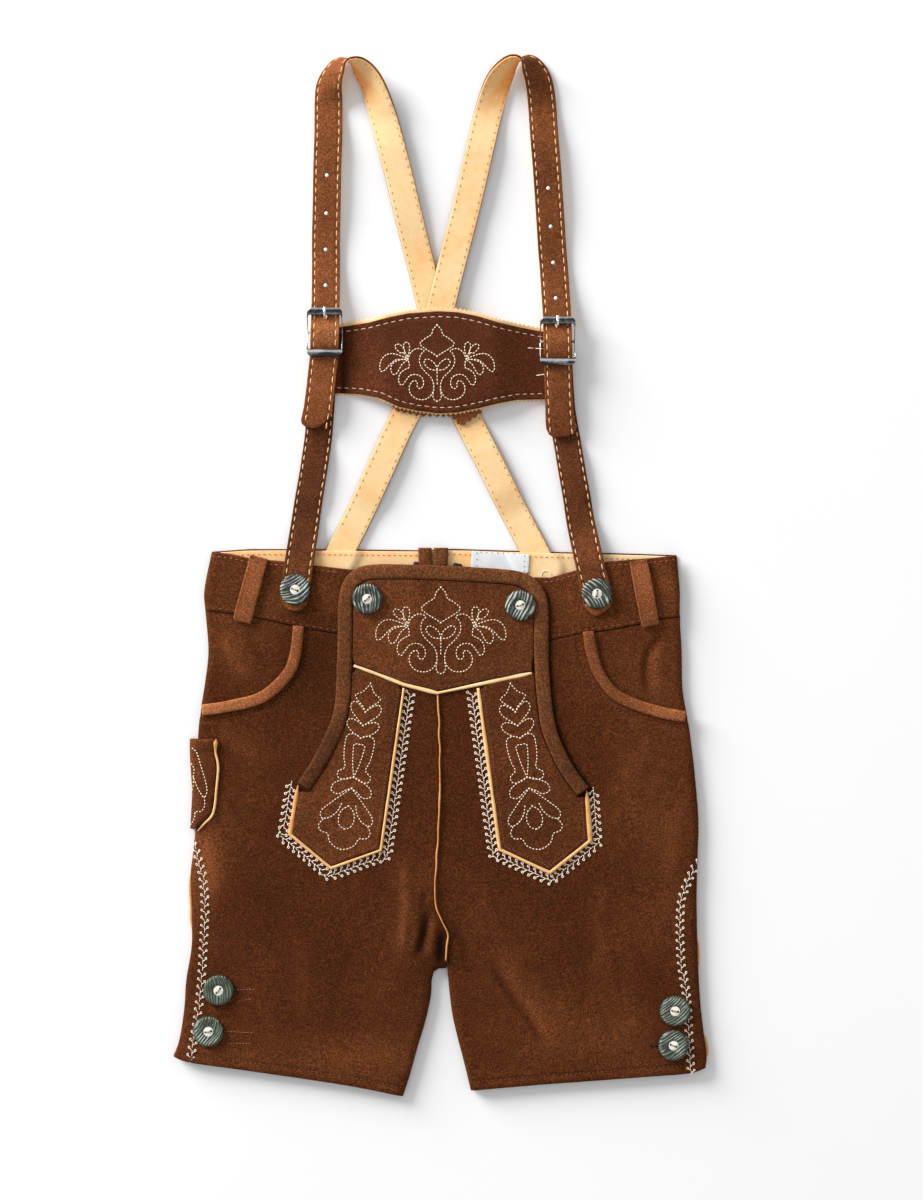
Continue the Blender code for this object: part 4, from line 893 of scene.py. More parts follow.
def pocketBearer(side):
    sign = outward[side]
    mouth = offsetLine(edgeOf("pocket", side, 2.5), sign * gap)
    mouth[0, 1] = onTable(garment["waistSeam"], mouth[0, 0]) - gap
    edge = edgeOf("side", side, 2.5)
    below = edge[:, 1] < onTable(garment["waistSeam"], edge[:, 0]) - 2
    edge = edge[below & (edge[:, 1] > mouth[-1, 1] + 2)]
    waist = [(x, y - gap) for x, y in garment["waistSeam"] if abs(x) > abs(mouth[0, 0]) + 2 and x * sign > 0]
    waist.sort(key=lambda point: -abs(point[0]))
    outline = joined(mouth, edge[::-1], waist)
    drop = layers["bearerDrop"]
    return plate(f"pocket_bearer_piece_{side}", outline, lambda x, y: frontTop(x, y) - drop,
                 lambda x, y: frontBottom(x, y, layers["suede"] + drop), "darkSuede", spacing=1.8,
                 shade=creaseShade, restsOn=[f"back_{side}"])


def pocketBinding(side):
    line = edgeOf("pocket", side, 2.0)
    line[0, 1] += 1.0
    # Lighter towards the side seam.
    if side == "right":
        lighterSide = 0.021 * (-line[:, 0] - 116.0)
    else:
        lighterSide = 0.7 * smoothStep((line[:, 0] - 132.0) / 20.0) - 0.6
    return band(f"pocket_binding_piece_{side}", line, bindings["pocketWidth"], bindings["pocketHeight"],
                "bindingSuede", 0.035, 2.0 if side == "right" else 3.0, shade=lighterSide)


def sidePiping(side):
    line = edgeOf("side", side, 3.0)
    line = line[line[:, 1] < sidePipings["top"]]
    reach = np.full(len(line), sidePipings["hidden"])
    for low, high, shows in sidePipings[side]:
        away = 1.6 * (1 - np.abs(line[:, 1] - (low + high) / 2) / ((high - low) / 2))
        reach = np.maximum(reach, sidePipings["hidden"] + shows * smoothStep(away))
    rim = line + leftNormals(line) * (outward[side] * reach)[:, None]
    rim[-1, 1] += 2.0
    inner = offsetLine(line, -outward[side] * sidePipings["width"])
    inner[-1, 1] += 3.0
    low = layers["suede"] + gap
    return plate(f"side_piping_piece_{side}", joined(rim, inner[::-1]),
                 level(low + sidePipings["thickness"]), level(low), "piping", spacing=2.2, edge=0.5,
                 shade=level(-0.5))


for side in outward:
    backLeg(side)
    pocketBearer(side)
    frontLeg(side, [pocketBinding(side), sidePiping(side)])
print("legs made")


# Waistband.

waist = {"facing": 1.0, "facingBump": 1.7, "facingEdge": 1.0, "labelThickness": 0.5}
# the folded tabs behind: middle, half the width and lean of each
backTabs = {
    "places": {"right": (-10.3, 4.6, -0.4), "left": (-0.3, 5.0, 1)}, "rise": 2.6, "lean": 0.05,
    "wideRound": 0.45, "tallRound": 0.7,
    # height and fullness, up to the open end and down inside it
    "shape": [(6, 1), (9, 1), (13, 1), (16.5, 1), (18.9, 1), (19.5, 0.97), (19.6, 0.9), (19.3, 0.72),
              (18.6, 0.66), (17, 0.62)],
    # painted light on the fold at the open end and painted shade down inside it, for each ring
    "tones": [-0.1] * 5 + [0.8] * 2 + [-0.1] + [-1.2] * 2,
}
beltLoops = {
    "right": [(-123.1, 13.3), (-135.0, -30.9)], "left": [(134.3, 10.9), (142.8, -33.7)],
    "width": 12.4, "thickness": 2.0, "clearance": 1.6, "sideRound": 0.3, "topRound": 0.45,
    # a fold along it, and the stitches across both ends: place and reach
    "fold": (0.2, 0.1), "foldDepth": 0.3, "sewn": [(0.045, 0.02), (0.955, 0.02)], "sewnDepth": 0.5,
}
strapTables = {
    "right": [
        (-85.3, 101, 4.5, 0), (-83.3, 112.1, 6.1, 0), (-82.2, 120, 6.9, 0), (-80.6, 135, 7, 0),
        (-79, 149.3, 7.7, 0), (-78.8, 154.3, 8.4, 0), (-78.6, 160, 9.8, 0), (-78.4, 165.9, 10.7, 0),
        (-78.3, 171.6, 10.1, 0), (-78.3, 177.4, 8.3, 0), (-78.2, 186, 6.8, 0), (-78.2, 198, 4, 0),
        (-78.2, 214, 1.9, 0),
        (-78.2, 230, 1.3, 0), (-77.6, 253, 1.3, 0), (-77.2, 276.4, 1.3, 0), (-76.5, 300, 1.3, 0),
        (-76.5, 318, 1.3, 0), (-76.3, 326, 1.3, 8), (-75.9, 332.5, 1.3, 20), (-74.3, 338.2, 1.3, 31),
        (-72.3, 342.2, 1.3, 41), (-69.7, 346.6, 1.3, 51), (-67.3, 348.9, 1.3, 61), (-64.8, 350, 1.3, 71),
        (-61.4, 349.9, 1.3, 86), (-57, 347.6, 1.3, 111), (-52.2, 343.2, 1.3, 130),
        (-47.2, 336, 1.3, 141), (-43.6, 327.4, 1.3, 150), (-40.7, 318.3, 1.3, 159),
        (-37.2, 306.4, 1.3, 172), (-29.2, 276.4, 1.3, 180),
        (-22.8, 250, 1.3, 180), (-16.7, 225.4, 1.3, 180), (-9.9, 198.2, 1.3, 180),
        (-3.4, 171, 1.3, 180), (5.1, 137, 1.3, 180), (20.7, 103, 1.3, 180),
        (33.3, 78, 1.3, 180), (46.2, 52, 1.3, 180), (55.6, 34, 1.6, 180), (62.2, 21.4, 2.6, 180),
        (67, 12, 2.6, 180), (70.6, 5, 2.6, 180),
    ],
    "left": [
        (82.6, 94.9, 4, 0), (81.3, 105.7, 5.9, 0), (80.9, 114, 6.9, 0), (80.3, 129, 7, 0),
        (80, 142.5, 7.7, 0), (79.9, 148.2, 8.4, 0), (79.7, 153.9, 9.8, 0), (79.6, 159.8, 10.7, 0),
        (79.4, 165.5, 10.1, 0), (79.2, 171.3, 8.3, 0), (78.9, 180, 6.8, 0), (78.2, 192, 4, 0),
        (77.2, 208, 1.9, 0),
        (75.8, 225.4, 1.3, 0), (74.2, 250, 1.3, 0), (72.4, 276.4, 1.3, 0), (70.5, 300, 1.3, 0),
        (69.2, 320, 1.3, 2), (67.7, 332.2, 1.3, 9), (65.5, 340.2, 1.3, 20), (61.8, 346.6, 1.3, 35),
        (58.6, 349.8, 1.3, 52), (55.6, 351.2, 1.3, 72), (52.6, 350.8, 1.3, 92), (48, 348.2, 1.3, 115),
        (43.3, 342.6, 1.3, 136), (38.9, 335.3, 1.3, 155), (35, 324, 1.3, 170),
        (30.9, 309.1, 1.3, 179), (23.5, 276.4, 1.3, 180), (17.2, 250, 1.3, 180),
        (10.9, 225.4, 3.4, 180), (4.4, 200, 4.3, 180), (-3.4, 169, 4.3, 180),
        (-12.6, 137, 4.3, 180), (-20, 118, 3.1, 180), (-29.5, 99, 1.3, 180),
        (-40, 75.5, 1.3, 180), (-50.7, 52, 1.3, 180), (-60, 33, 1.6, 180),
        (-66, 21.4, 2.6, 180), (-70.3, 12, 2.6, 180), (-73.5, 5, 2.6, 180),
    ],
}


def frontWaistband(side):
    sign = outward[side]
    middle = sign * gap / 2
    ends = edgeOf("side", side, 2.5)
    ends = ends[(ends[:, 1] > onTable(garment["waistSeam"], ends[:, 0]) + 2)
                & (ends[:, 1] < onTable(garment["waistTop"], ends[:, 0]) - 2)]
    top = sorted([p for p in garment["waistTop"] if p[0] * sign > 3], key=lambda p: abs(p[0]))
    seam = sorted([p for p in garment["waistSeam"] if p[0] * sign > 3], key=lambda p: -abs(p[0]))
    top.insert(0, (middle, float(onTable(garment["waistTop"], middle))))
    seam.append((middle, float(onTable(garment["waistSeam"], middle))))
    outline = joined(straightLine(top, 3.0), ends, straightLine(seam, 3.0))

    def shade(x, y):
        edge = onTable(garment["waistTop"], x) - y
        seamAway = y - onTable(garment["waistSeam"], x)
        # Painted light along the top edge and painted shade along the seam.
        return creaseShade(x, y) + 0.14 * hill(edge, 2.5) - 0.18 * hill(seamAway, 1.6)

    return plate(f"waistband_piece_{side}", outline, frontTop,
                 lambda x, y: frontBottom(x, y, layers["waistband"]), "darkSuede",
                 [f"waistband_front_{side}"], spacing=1.9, edge=1.1, shade=shade,
                 restsOn=["waistband_back_piece"])


def backWaistband():
    top = np.array(garment["backTop"])
    rest = [(162.7, -9.2), (162.7, backSeam), (-160.0, backSeam), (-160.6, -9.2)]
    outline = straightLine([*top.tolist(), *rest], 6.0)
    return plate("waistband_back_piece", outline, level(layers["suede"]), level(0.0), "darkSuede",
                 spacing=4.0, restsOn=["floor"])


def facingBottom(x, y, margin=0.0):
    points = np.column_stack([x, y])
    ends = [np.array([row[:2] for row in table[-3:]]) for table in strapTables.values()]
    near = nearestOf(points, ends) - margin
    return layers["suede"] + gap + waist["facingBump"] * smoothStep((15.0 - near) / 4.0)


def facingTop(x, y):
    return facingBottom(x, y) + waist["facing"]


def labelBottom(x, y):
    return facingBottom(x, y, margin=5.0) + waist["facing"] + laidOn


def waistbandFacing():
    top = [(x, float(onTable(garment["backTop"], x)) - waist["facingEdge"]) for x in range(-150, 157, 17)]
    top = straightLine(top, 3.0)
    bottom = straightLine([(156.0, -19.0), (-150.0, -19.0)], 4.0)

    def shade(x, y):
        edge = onTable(garment["backTop"], x) - waist["facingEdge"] - y
        # Painted light towards the right end.
        paintedLightRight = 0.5 * smoothStep((x - 55.0) / 25.0)
        return paintedLightRight + 0.25 * softNoise(x, y, 16.0, 4.0) - 0.35 * hill(edge - 2.6, 1.2)

    return plate("facing_piece", joined(top, bottom), facingTop, facingBottom, "tanLeather",
                 ["waistband_facing"], spacing=2.4, edge=0.5, shade=shade, restsOn=["waistband_back_piece"])


label = {"outline": [(21.4, 17.6), (60.4, 15.0), (60.0, 3.0), (45.0, -4.0), (44.0, -9.2), (20.1, -9.2)],
         "curl": 0.25}


def clothLabel():
    outline = straightLine(closed(np.array(label["outline"])), 2.0)[:-1]

    def top(x, y):
        return labelBottom(x, y) + waist["labelThickness"] + label["curl"] * softNoise(x, y, 11.0, 6.0) ** 2

    return plate("label_piece", outline, top, labelBottom, "labelCloth", spacing=1.5, edge=0.25,
                 restsOn=["facing_piece"], rim=0.0)


def backTab(side):
    # A folded tab, open at its upper end.
    middle, half, leaning = backTabs["places"][side]
    low = layers["suede"] + gap + waist["facing"] + gap
    rise, shape = backTabs["rise"], backTabs["shape"]
    turns = aroundRing(28)
    rings = []
    for y, size in shape:
        lean = backTabs["lean"] * (y - shape[0][0]) * leaning
        tall = rise / 2 * size * (0.55 if size < 0.75 else 1.0)
        ring = []
        for turn in turns:
            across = np.sign(math.cos(turn)) * abs(math.cos(turn)) ** backTabs["wideRound"]
            up = np.sign(math.sin(turn)) * abs(math.sin(turn)) ** backTabs["tallRound"]
            ring.append((middle + lean + half * size * across, y, low + rise / 2 + tall * up))
        rings.append(ring)
    tones = np.repeat(backTabs["tones"], len(turns))
    piece = loft(f"back_tab_piece_{side}", rings, "edgeSuede", tones)
    max(shape)[0] - shape[0][0]


def beltLoop(side):
    line = straightLine(beltLoops[side], 1.5)
    walked = alongLine(line)
    share = walked / walked[-1]
    clear = beltLoops["clearance"] * smoothStep(3.0 * np.minimum(share, 1 - share))
    across, up = halfRing(17, beltLoops["sideRound"], beltLoops["topRound"])
    normals = leftNormals(line)
    width = beltLoops["width"] * (1 + 0.03 * noiseAlong(walked, 10.0, 3.0 if side == "left" else 8.0))
    width = width * np.where((share < 0.03) | (share > 0.97), 0.94, 1.0)
    rings = np.empty((len(line), 2 * len(up), 3))
    tone = np.empty((len(line), 2 * len(up)))
    foldAt, foldReach = beltLoops["fold"]
    fold = hill(np.linspace(-1, 1, len(up)) - foldAt, foldReach)
    sewn = sum(hill(share - at, reach) for at, reach in beltLoops["sewn"])
    thickness = beltLoops["thickness"]
    for column in range(len(up)):
        place = line + normals * (width * across[column])[:, None]
        low = frontTop(place[:, 0], place[:, 1], fine=False) + laidOn + clear
        rise = thickness * (0.35 + 0.65 * up[column]) - beltLoops["foldDepth"] * fold[column]
        rings[:, column, :2] = place
        rings[:, column, 2] = low + (rise - beltLoops["sewnDepth"] * sewn * up[column])
        under = 2 * len(up) - 1 - column
        rings[:, under, :2] = place
        rings[:, under, 2] = low + 0.12 * (1 - up[column]) * thickness
        # Painted shade in the fold and underneath, darker where the ends are sewn down, and random tone
        # along it.
        tone[:, column] = -0.25 + 0.2 * noiseAlong(walked, 8.0, 1.0) - 0.35 * fold[column] - 0.3 * sewn
        tone[:, under] = -0.3
    piece = loft(f"belt_loop_piece_{side}", rings, "bindingSuede", tone)


backWaistband()
waistbandFacing()
clothLabel()
for side in outward:
    backTab(side)
for side in outward:
    frontWaistband(side)
    beltLoop(side)
print("waistband made")


# Flap.

flap = {
    "yokeThickness": 1.6, "stripThickness": 1.4, "pipingWidth": 2.4, "pipingHeight": 1.5,
    "caught": 0.016, "centreWidth": 1.15, "chevronRowAway": 2.6,
    # where each strip's piping ends under the binding, and how full it is
    "strips": {"right": ((-96.8, -142.0), 0.8), "left": ((99.3, -145.6), 1.02)},
}


def insideFlap():
    # The binding's inner edge, run on a little past both ends.
    line = smoothLine(garment["flapEdge"], 3.0)
    first = line[0] + (line[0] - line[1]) / np.linalg.norm(line[0] - line[1])
    last = line[-1] + (line[-1] - line[-2]) / np.linalg.norm(line[-1] - line[-2])
    return offsetLine(np.vstack([first, line, last]), -(bindings["flapWidth"] / 2 + gap))


def besidePiping(line, side):
    return offsetLine(line, side * (flap["pipingWidth"] / 2 + gap))


def besideStrip(side, away):
    # A line beside one side of a strip, away from the flap's middle.
    return offsetLine(straightLine(garment["strip" + side.capitalize()], 3.0), outward[side] * away)


def besideChevron():
    # The row of stitches above the chevron.
    away = flap["pipingWidth"] / 2 + flap["chevronRowAway"]
    return offsetLine(straightLine(garment["chevron"], 3.0), away)


def flapShade(x, y):
    return 0.10 * softNoise(x, y, 24.0, 12.0) + 0.5 * reliefOf(np.column_stack([x, y]), creases[:1])


def flapYoke():
    chevron = besidePiping(straightLine(garment["chevron"], 3.0), 1)
    rim = insideFlap()
    rim = rim[rim[:, 1] > -56.0]
    outline = joined(rim, chevron[::-1])
    chevronRow = besideChevron()

    def top(x, y):
        points = np.column_stack([x, y])
        pull = 0.25 * hill(distanceTo(points, chevronRow), 0.9)
        return frontTop(x, y) + laidOn + flap["yokeThickness"] - pull

    piece = plate("flap_yoke_piece", outline, top, onFront(0.0), "flapSuede", spacing=1.8,
                  shade=lambda x, y: flapShade(x, y) + 0.45 * smoothStep((-8.0 - x) / 16.0),
                  rows=rowPoints([chevronRow]))
    return piece, outline


def flapStrip(side):
    sign = outward[side]
    edge = besideStrip(side, flap["pipingWidth"] / 2 + gap)
    rim = insideFlap()
    rim = rim[(rim[:, 1] < -64.5) & (rim[:, 0] * sign > 0)]
    chevron = besidePiping(straightLine(garment["chevron"], 3.0), -1)
    chevron = chevron[(chevron[:, 0] * sign > 28.0) & (chevron[:, 0] * sign < 58.5)]
    if side == "left":
        rim, chevron = rim[::-1], chevron[::-1]
    outline = joined(edge, rim, chevron)
    return plate(f"flap_strip_piece_{side}", outline, onFront(flap["stripThickness"]), onFront(0.0),
                 "flapSuede", spacing=1.8,
                 shade=lambda x, y: flapShade(x, y) - 0.15 + 0.35 * smoothStep((-30.0 - x) / 10.0),
                 restsOn=[f"leg_front_{side}"])


def pipings():
    # The chevron's, the strips' and the centre seam's, in that order.
    width, height = flap["pipingWidth"], flap["pipingHeight"]
    made = [band("chevron_piping_piece", straightLine(garment["chevron"], 2.0), width, height, "piping",
                 0.32, 20.0, 0.8, 0.5)]
    for seed, (side, (tip, fullness)) in enumerate(flap["strips"].items()):
        corners = garment["strip" + side.capitalize()]
        # Its top end is caught under the chevron.
        (topX, topY), (nextX, nextY) = corners[:2]
        top = (topX + flap["caught"] * (topX - nextX), topY + flap["caught"] * (topY - nextY))
        line = straightLine([top] + corners[1:] + [tip], 2.0)
        # Broad and sun-darkened along the outer edge, and drawn to a point under the binding.
        walked = alongLine(line)
        away = walked[-1] - walked
        outer = smoothStep((math.dist(corners[-2], corners[-1]) + 7.0 - away) / 6.0)
        full = width * fullness
        wide = full * (1 + 0.5 * outer * smoothStep(away / 9.0) - 0.6 * smoothStep((6.0 - away) / 6.0))
        made.append(band(f"strip_piping_{side}_piece", line, wide, height, "piping", 0.16, 21.0 + seed, 0.8,
                         -0.1 - 0.5 * outer))
    centre = smoothLine(garment["centreSeam"], 2.0)
    centre = centre[(centre[:, 1] > -263.0) & (centre[:, 1] < -81.0)]
    centre = np.vstack([centre[0] + (0.0, 1.7), centre])
    centre[:, 0] += 0.4 * noiseAlong(centre[:, 1], 9.0, 5.0)
    made.append(band("centre_piping_piece", centre, flap["centreWidth"], height, "piping", 0.25, 30.0, 0.9,
                     -0.75))
    return made


flapEdge = smoothLine(garment["flapEdge"], 2.0)
edgeTone = np.where(flapEdge[:, 0] < 0, 0.8, 0.4) * smoothStep((-84.0 - flapEdge[:, 1]) / 30.0)
bindingPiece = band("flap_binding_piece", flapEdge, bindings["flapWidth"], bindings["flapHeight"],
                    "edgeSuede", 0.03, 11.0, 0.5, -0.05 - edgeTone)
pipingPieces = pipings()
yokePiece, yokeOutline = flapYoke()
abs(loopArea(yokeOutline))
for side in outward:
    flapStrip(side)
print("flap made")


# Knife pocket on the right leg, wrapped round the side fold.

knifePocket = {
    "inner": [(-153.9, -110.4), (-154.6, -118.7), (-152.6, -129.5), (-153.9, -145.9), (-156, -160.8),
              (-162.4, -166.6), (-167, -171.6)],
    "thickness": 1.75, "mouthFold": 8, "foldRise": 0.45,
    # Its section, from the inner edge over the leg and round the side fold. Over the top: share of the
    # width, further in and above the crown. Round the fold: further in and height. Underneath: share of
    # the width and further in.
    "over": [(1, 0, -0.9), (1, -0.15, -0.4), (1, -0.6, 0), (0.75, 0, 0.12), (0.55, 0, 0.15),
             (0.38, 0, 0.05), (0.24, 0, -0.22), (0.12, 0, -0.62), (0, 0, -1.35), (0, -1.2, -2.4),
             (0, -2, -3.7)],
    "round": [(-2.4, 3.2), (-2.4, 1.8), (-2.1, 0.5), (-0.6, 0.4), (-0.5, 1.8), (-0.5, 3.2), (-0.5, 4.4)],
    "under": [(0.16, 0), (0.4, 0), (0.7, 0), (1, -0.2)],
    # how much lighter each point is, darker underneath in painted shade, and which take the painted shade at
    # the mouth
    "tones": [0.35] * 3 + [0] * 6 + [0.1] * 5 + [-0.4] * 8, "toneAndShading": [1] * 9 + [0] * 13,
}


def pocketSkin():
    line = straightLine(knifePocket["inner"], 1.5)
    side = [(y, x) for x, y in garment["sideRight"]]
    walked = alongLine(line)
    rings, tones = [], []
    for step, (inner, y) in enumerate(line):
        edge = float(onTable(side, y)) - 1.0 - 2.2 * float(smoothStep((44.0 - walked[step]) / 40.0))
        width = inner - edge
        flat = float(frontTop(edge + 9.0, y, fine=False)[0])
        # Folded double along its mouth, and drawn together towards its tip.
        fold = knifePocket["foldRise"] * float(smoothStep((knifePocket["mouthFold"] - walked[step]) / 1.2))
        end = float(smoothStep((walked[step] + 0.6) / 1.6))
        crown = flat + laidOn + (knifePocket["thickness"] + fold) * (0.4 + 0.6 * end)
        ring = [(edge + width * share + further, y, crown + above)
                for share, further, above in knifePocket["over"]]
        ring += [(edge + further, y, height) for further, height in knifePocket["round"]]
        ring += [(edge + width * share + further, y, flat + laidOn)
                 for share, further in knifePocket["under"]]
        rings.append(ring)
        # Painted shade along the mouth fold.
        toneAndShading = 0.35 * hill(walked[step] - knifePocket["mouthFold"], 1.0)
        tones.append([tone - toneAndShading * part for tone, part in zip(knifePocket["tones"], knifePocket["toneAndShading"])])
    return loft("knife_pocket_piece", rings, "flapSuede", tones)


def pocketRim():
    width = flap["pipingWidth"]
    inner = knifePocket["inner"]
    rim = [(x + width / 2 + gap, y) for x, y in inner[:-2]] + [(x + 1.6, y - 1.6) for x, y in inner[-2:]]
    line = smoothLine(rim, 1.5)
    walked = alongLine(line)
    # Thin at its ends, and rolled up where the mouth begins.
    swell = 0.85 * smoothStep((walked + 0.8) / 2.5) * (0.55 + 0.45 * smoothStep((walked[-1] - walked) / 14))
    swell = swell * (1 + 0.8 * hill(walked - 3.0, 2.6))
    turns = aroundRing(12)
    rings, tones = [], []
    normals = leftNormals(line)
    for place, normal, size, step in zip(line, normals, swell, walked):
        low = float(frontTop(place[0], place[1], fine=False)[0]) + laidOn
        rise = 1.05 * size
        wobble = 0.12 * float(softNoise(step, 0.0, 7.0, 3.0))
        rings.append([(place[0] + normal[0] * (size * math.cos(turn) + wobble),
                       place[1] + normal[1] * (size * math.cos(turn) + wobble),
                       low + rise + rise * math.sin(turn)) for turn in turns])
        # Painted light over its top, lighter along its inner side, and painted shade at its upper end, where
        # the mouth begins.
        tones.append([0.15 * math.sin(turn) - 1.3 * math.exp(-step / 6.0) + 0.4 * math.cos(turn)
                      for turn in turns])
    return loft("knife_pocket_piping_piece", rings, "piping", tones)


pocketSkin()
float(alongLine(straightLine(knifePocket["inner"], 1.5))[-1])
pocketRim()
print("knife pocket made")


# Braces. Distances along a strap start at its free end, and its left is the wearer's right on the way up.

straps = {
    "half": 9.5, "inner": 0.15, "outer": 1.3, "liningInset": 0.25, "skived": 0.54, "skivedLength": 36.0,
    "stitchRow": 7.35, "groove": 0.28, "lead": 2,
    "tipRight": [(11.9, -9.7), (6.4, -6.8), (1.9, -3.1), (-0.4, 1), (-0.6, 3.3), (0, 7.6), (1.6, 9.8),
                 (3.9, 10.5), (11.6, 10.1), (30, 9.8), (66, 9.75), (80, 9.45)],
    "tipLeft": [(66, -9.75), (30, -9.5), (12, -9.9), (7, -10.3), (3.5, -10.2), (1.6, -9),
                (-0.2, -3.2), (0.3, 4.1), (1, 6.4), (2.85, 8.5), (7.2, 10), (14, 9.8), (30, 9.4),
                (66, 9.75), (80, 9.5)],
    "holes": {"right": [273.0, 247.2, 222.7, 198.2], "left": [264.2, 238.3, 213.9, 189.4]},
    # the prong's hole: how far above the buckle's middle, and half its length and width
    "holeRadius": 1.4, "prongHole": (10.6, 1.7, 1.3),
    # how much wider the holes are in the suede, the pale light and the lining
    "holeInsets": (0.0, -0.15, -0.85),
    # where free stretches arch over the table, by y: how high, from, rising over, to and falling over
    "arches": [(3.2, 205, 60, 322, 34), (2.2, 40, 22, 106, 22)],
    # grain, tone and light at the buckle for each strap and each button strap
    "tones": {"right": (3, -0.1, 1), "left": (5, -0.45, 0.5)},
    "buttonTones": {"right": (13, -1.2), "left": (16, -1)},
}
buckles = {
    "right": (-78.6, 165.9), "left": (79.6, 159.8), "halfWidth": 13, "halfHeight": 16.6,
    "sideBar": 1.6, "endBar": 5, "corner": 3.2, "thickness": 2, "rise": 4.8, "wireBottom": 5.3,
    "wire": 1.6, "wireRoom": 0.35,
    "prong": [(-1, 7.95), (2.6, 7.9), (5.4, 7.2), (8.2, 6.4), (9.8, 7.2), (10.5, 9.2), (10.6, 11.4),
              (11.3, 13.1), (12.9, 13.6), (15, 13.3), (16.9, 12.9)],
    "prongRadius": 0.85,
}


def walkedPath(middle, across, up, full, lead=0.0):
    # What ribbon() asks of a strap, from rows of its middle and directions.
    walked = alongLine(middle) - lead
    table = np.column_stack([middle, unitRows(across), unitRows(up), full])

    def path(distance):
        rows = np.column_stack([np.interp(distance, walked, column) for column in table.T])
        return rows[:, :3], rows[:, 3:6], rows[:, 6:9], rows[:, 9]
    return path, walked


def archOf(y, rise, low, risesOver, high, fallsOver):
    return rise * smoothStep((y - low) / risesOver) * smoothStep((high - y) / fallsOver)


def longStrapPath(side):
    # Turned about its own line while it stands on edge round the shoulder.
    inward = -outward[side]
    rows = smoothLine(strapTables[side], 1.5)
    before = rows[0] + (rows[0] - rows[1]) / np.linalg.norm((rows[0] - rows[1])[:2]) * straps["lead"]
    rows = np.vstack([before, rows])
    rows[0, 2:] = rows[1, 2:]
    turn = np.radians(np.clip(rows[:, 3], 0, 180))
    rise = np.maximum(rows[:, 2], straps["outer"])
    upper, lower = (archOf(rows[:, 1], *arch) for arch in straps["arches"])
    rise = rise + (upper + lower * (rows[:, 3] > 90)) * smoothStep((5.0 - rise) / 1.5)
    flat, upright = np.cos(turn), np.sin(turn)
    normals = leftNormals(rows)
    left = unitRows(np.column_stack([normals, np.zeros(len(rows))]))
    upward = np.array([0.0, 0.0, 1.0])
    across = left * flat[:, None] - np.outer(upright * inward, upward)
    up = left * (upright * inward)[:, None] + np.outer(flat, upward)
    middle = np.column_stack([rows[:, :2], rise + straps["half"] * upright])
    walked = alongLine(middle)
    full = 1 - (1 - straps["skived"]) * smoothStep((walked - walked[-1] + straps["skivedLength"]) / 16.0)
    return *walkedPath(middle, across, up, full, straps["lead"]), middle


def climbed(walked, middle, y):
    # How far along a strap its rising outer run reaches y.
    rising = np.arange(len(middle)) < np.argmax(middle[:, 1])
    return float(np.interp(y, middle[rising, 1], walked[rising]))


def strapHoles(side, walked, middle, inset):
    # Punched holes on the outer run, and the one that the prong passes through.
    turns = aroundRing(16)
    radius = straps["holeRadius"] + inset
    above, longHalf, half = straps["prongHole"]
    shapes = [(y, radius, radius) for y in straps["holes"][side]]
    shapes.append((buckles[side][1] + above, longHalf, half))
    return [np.column_stack([climbed(walked, middle, y) + along * np.cos(turns), wide * np.sin(turns)])
            for y, along, wide in shapes]


def strapRows(length):
    # Points along both rows of stitches and on either side of each.
    distance = np.arange(12.0, length, 1.8)
    return [np.column_stack([distance, np.full(len(distance), sign * (straps["stitchRow"] + away))])
            for sign in (-1, 1) for away in (-1.0, 0.0, 0.9)]


def stitchRelief(flat):
    away = np.abs(np.abs(flat[:, 1]) - straps["stitchRow"])
    return -straps["groove"] * hill(away, 0.7) + 0.1 * hill(away - 1.9, 1.1)


def strapShade(seed, tone, window=-1000.0, lit=0.0):
    # Painted light where it bends through the buckle, painted shade in the stitch grooves, light beside
    # them.
    def shade(flat):
        away = np.abs(np.abs(flat[:, 1]) - straps["stitchRow"])
        toneAndShading = tone + 0.2 * softNoise(flat[:, 0], flat[:, 1], 13.0, seed)
        toneAndShading = toneAndShading + lit * np.exp(-((flat[:, 0] - window) / 9.0) ** 4)
        return toneAndShading - 0.22 * hill(away, 0.8) + 0.1 * hill(away - 2.2, 1.2)
    return shade


# each strap's path, its length and how far along it turns round the shoulder
strapPaths = {}


def longStrap(side):
    path, walked, middle = longStrapPath(side)
    length, apex = float(walked[-1]), float(walked[np.argmax(middle[:, 1])])
    strapPaths[side] = (path, length, apex)
    half = straps["half"]
    tip = straps["tip" + side.capitalize()]
    outline = turnedLeft(np.array([(length, -half), *tip, (length, half)])[::-1])
    throughSuede, throughBoth, throughLining = (strapHoles(side, walked, middle, inset)
                                                for inset in straps["holeInsets"])
    seed, tone, lit = straps["tones"][side]
    suede = ribbon(f"strap_piece_{side}", path, outline, straps["inner"], straps["outer"], "strapSuede",
                   holes=throughSuede, rows=strapRows(length - 2), relief=stitchRelief,
                   shade=strapShade(seed, tone, climbed(walked, middle, buckles[side][1]), lit))

    def liningShade(flat):
        # Painted shade round the shoulder, most of all in the crease on its inner side.
        past = flat[:, 0] - apex
        crease = smoothStep((-outward[side] * flat[:, 1] - 1.0 + 0.16 * past) / 4.5)
        crease = crease * hill(past - 20.0, 17.0)
        shoulderShade = (0.3 if side == "right" else 0.5) * hill(past - 4.0, 27.0)
        return 0.1 * softNoise(flat[:, 0], flat[:, 1], 15.0, 8.0) - shoulderShade - 0.7 * crease

    cut = offsetLoop(straightLine(closed(outline), 3.0)[:-1], straps["liningInset"])
    lining = ribbon(f"strap_lining_piece_{side}", path, cut, -straps["outer"], -straps["inner"],
                    "tanLeather", holes=throughLining, shade=liningShade)
    # Painted light: a pale disc in each punched hole stands for the light that shows through it.
    discs, faces = [], []
    for hole in throughBoth[:-1]:
        on, across, up, _ = path(hole[:, 0])
        rings = [on + across * hole[:, 1:2] + up * high for high in (0.1, straps["outer"] - 0.12)]
        points, sides = lofted(rings)
        faces += [[index + len(discs) for index in face] for face in sides]
        discs += points.tolist()
    addPiece(f"strap_hole_lights_{side}", discs, faces, "paper")


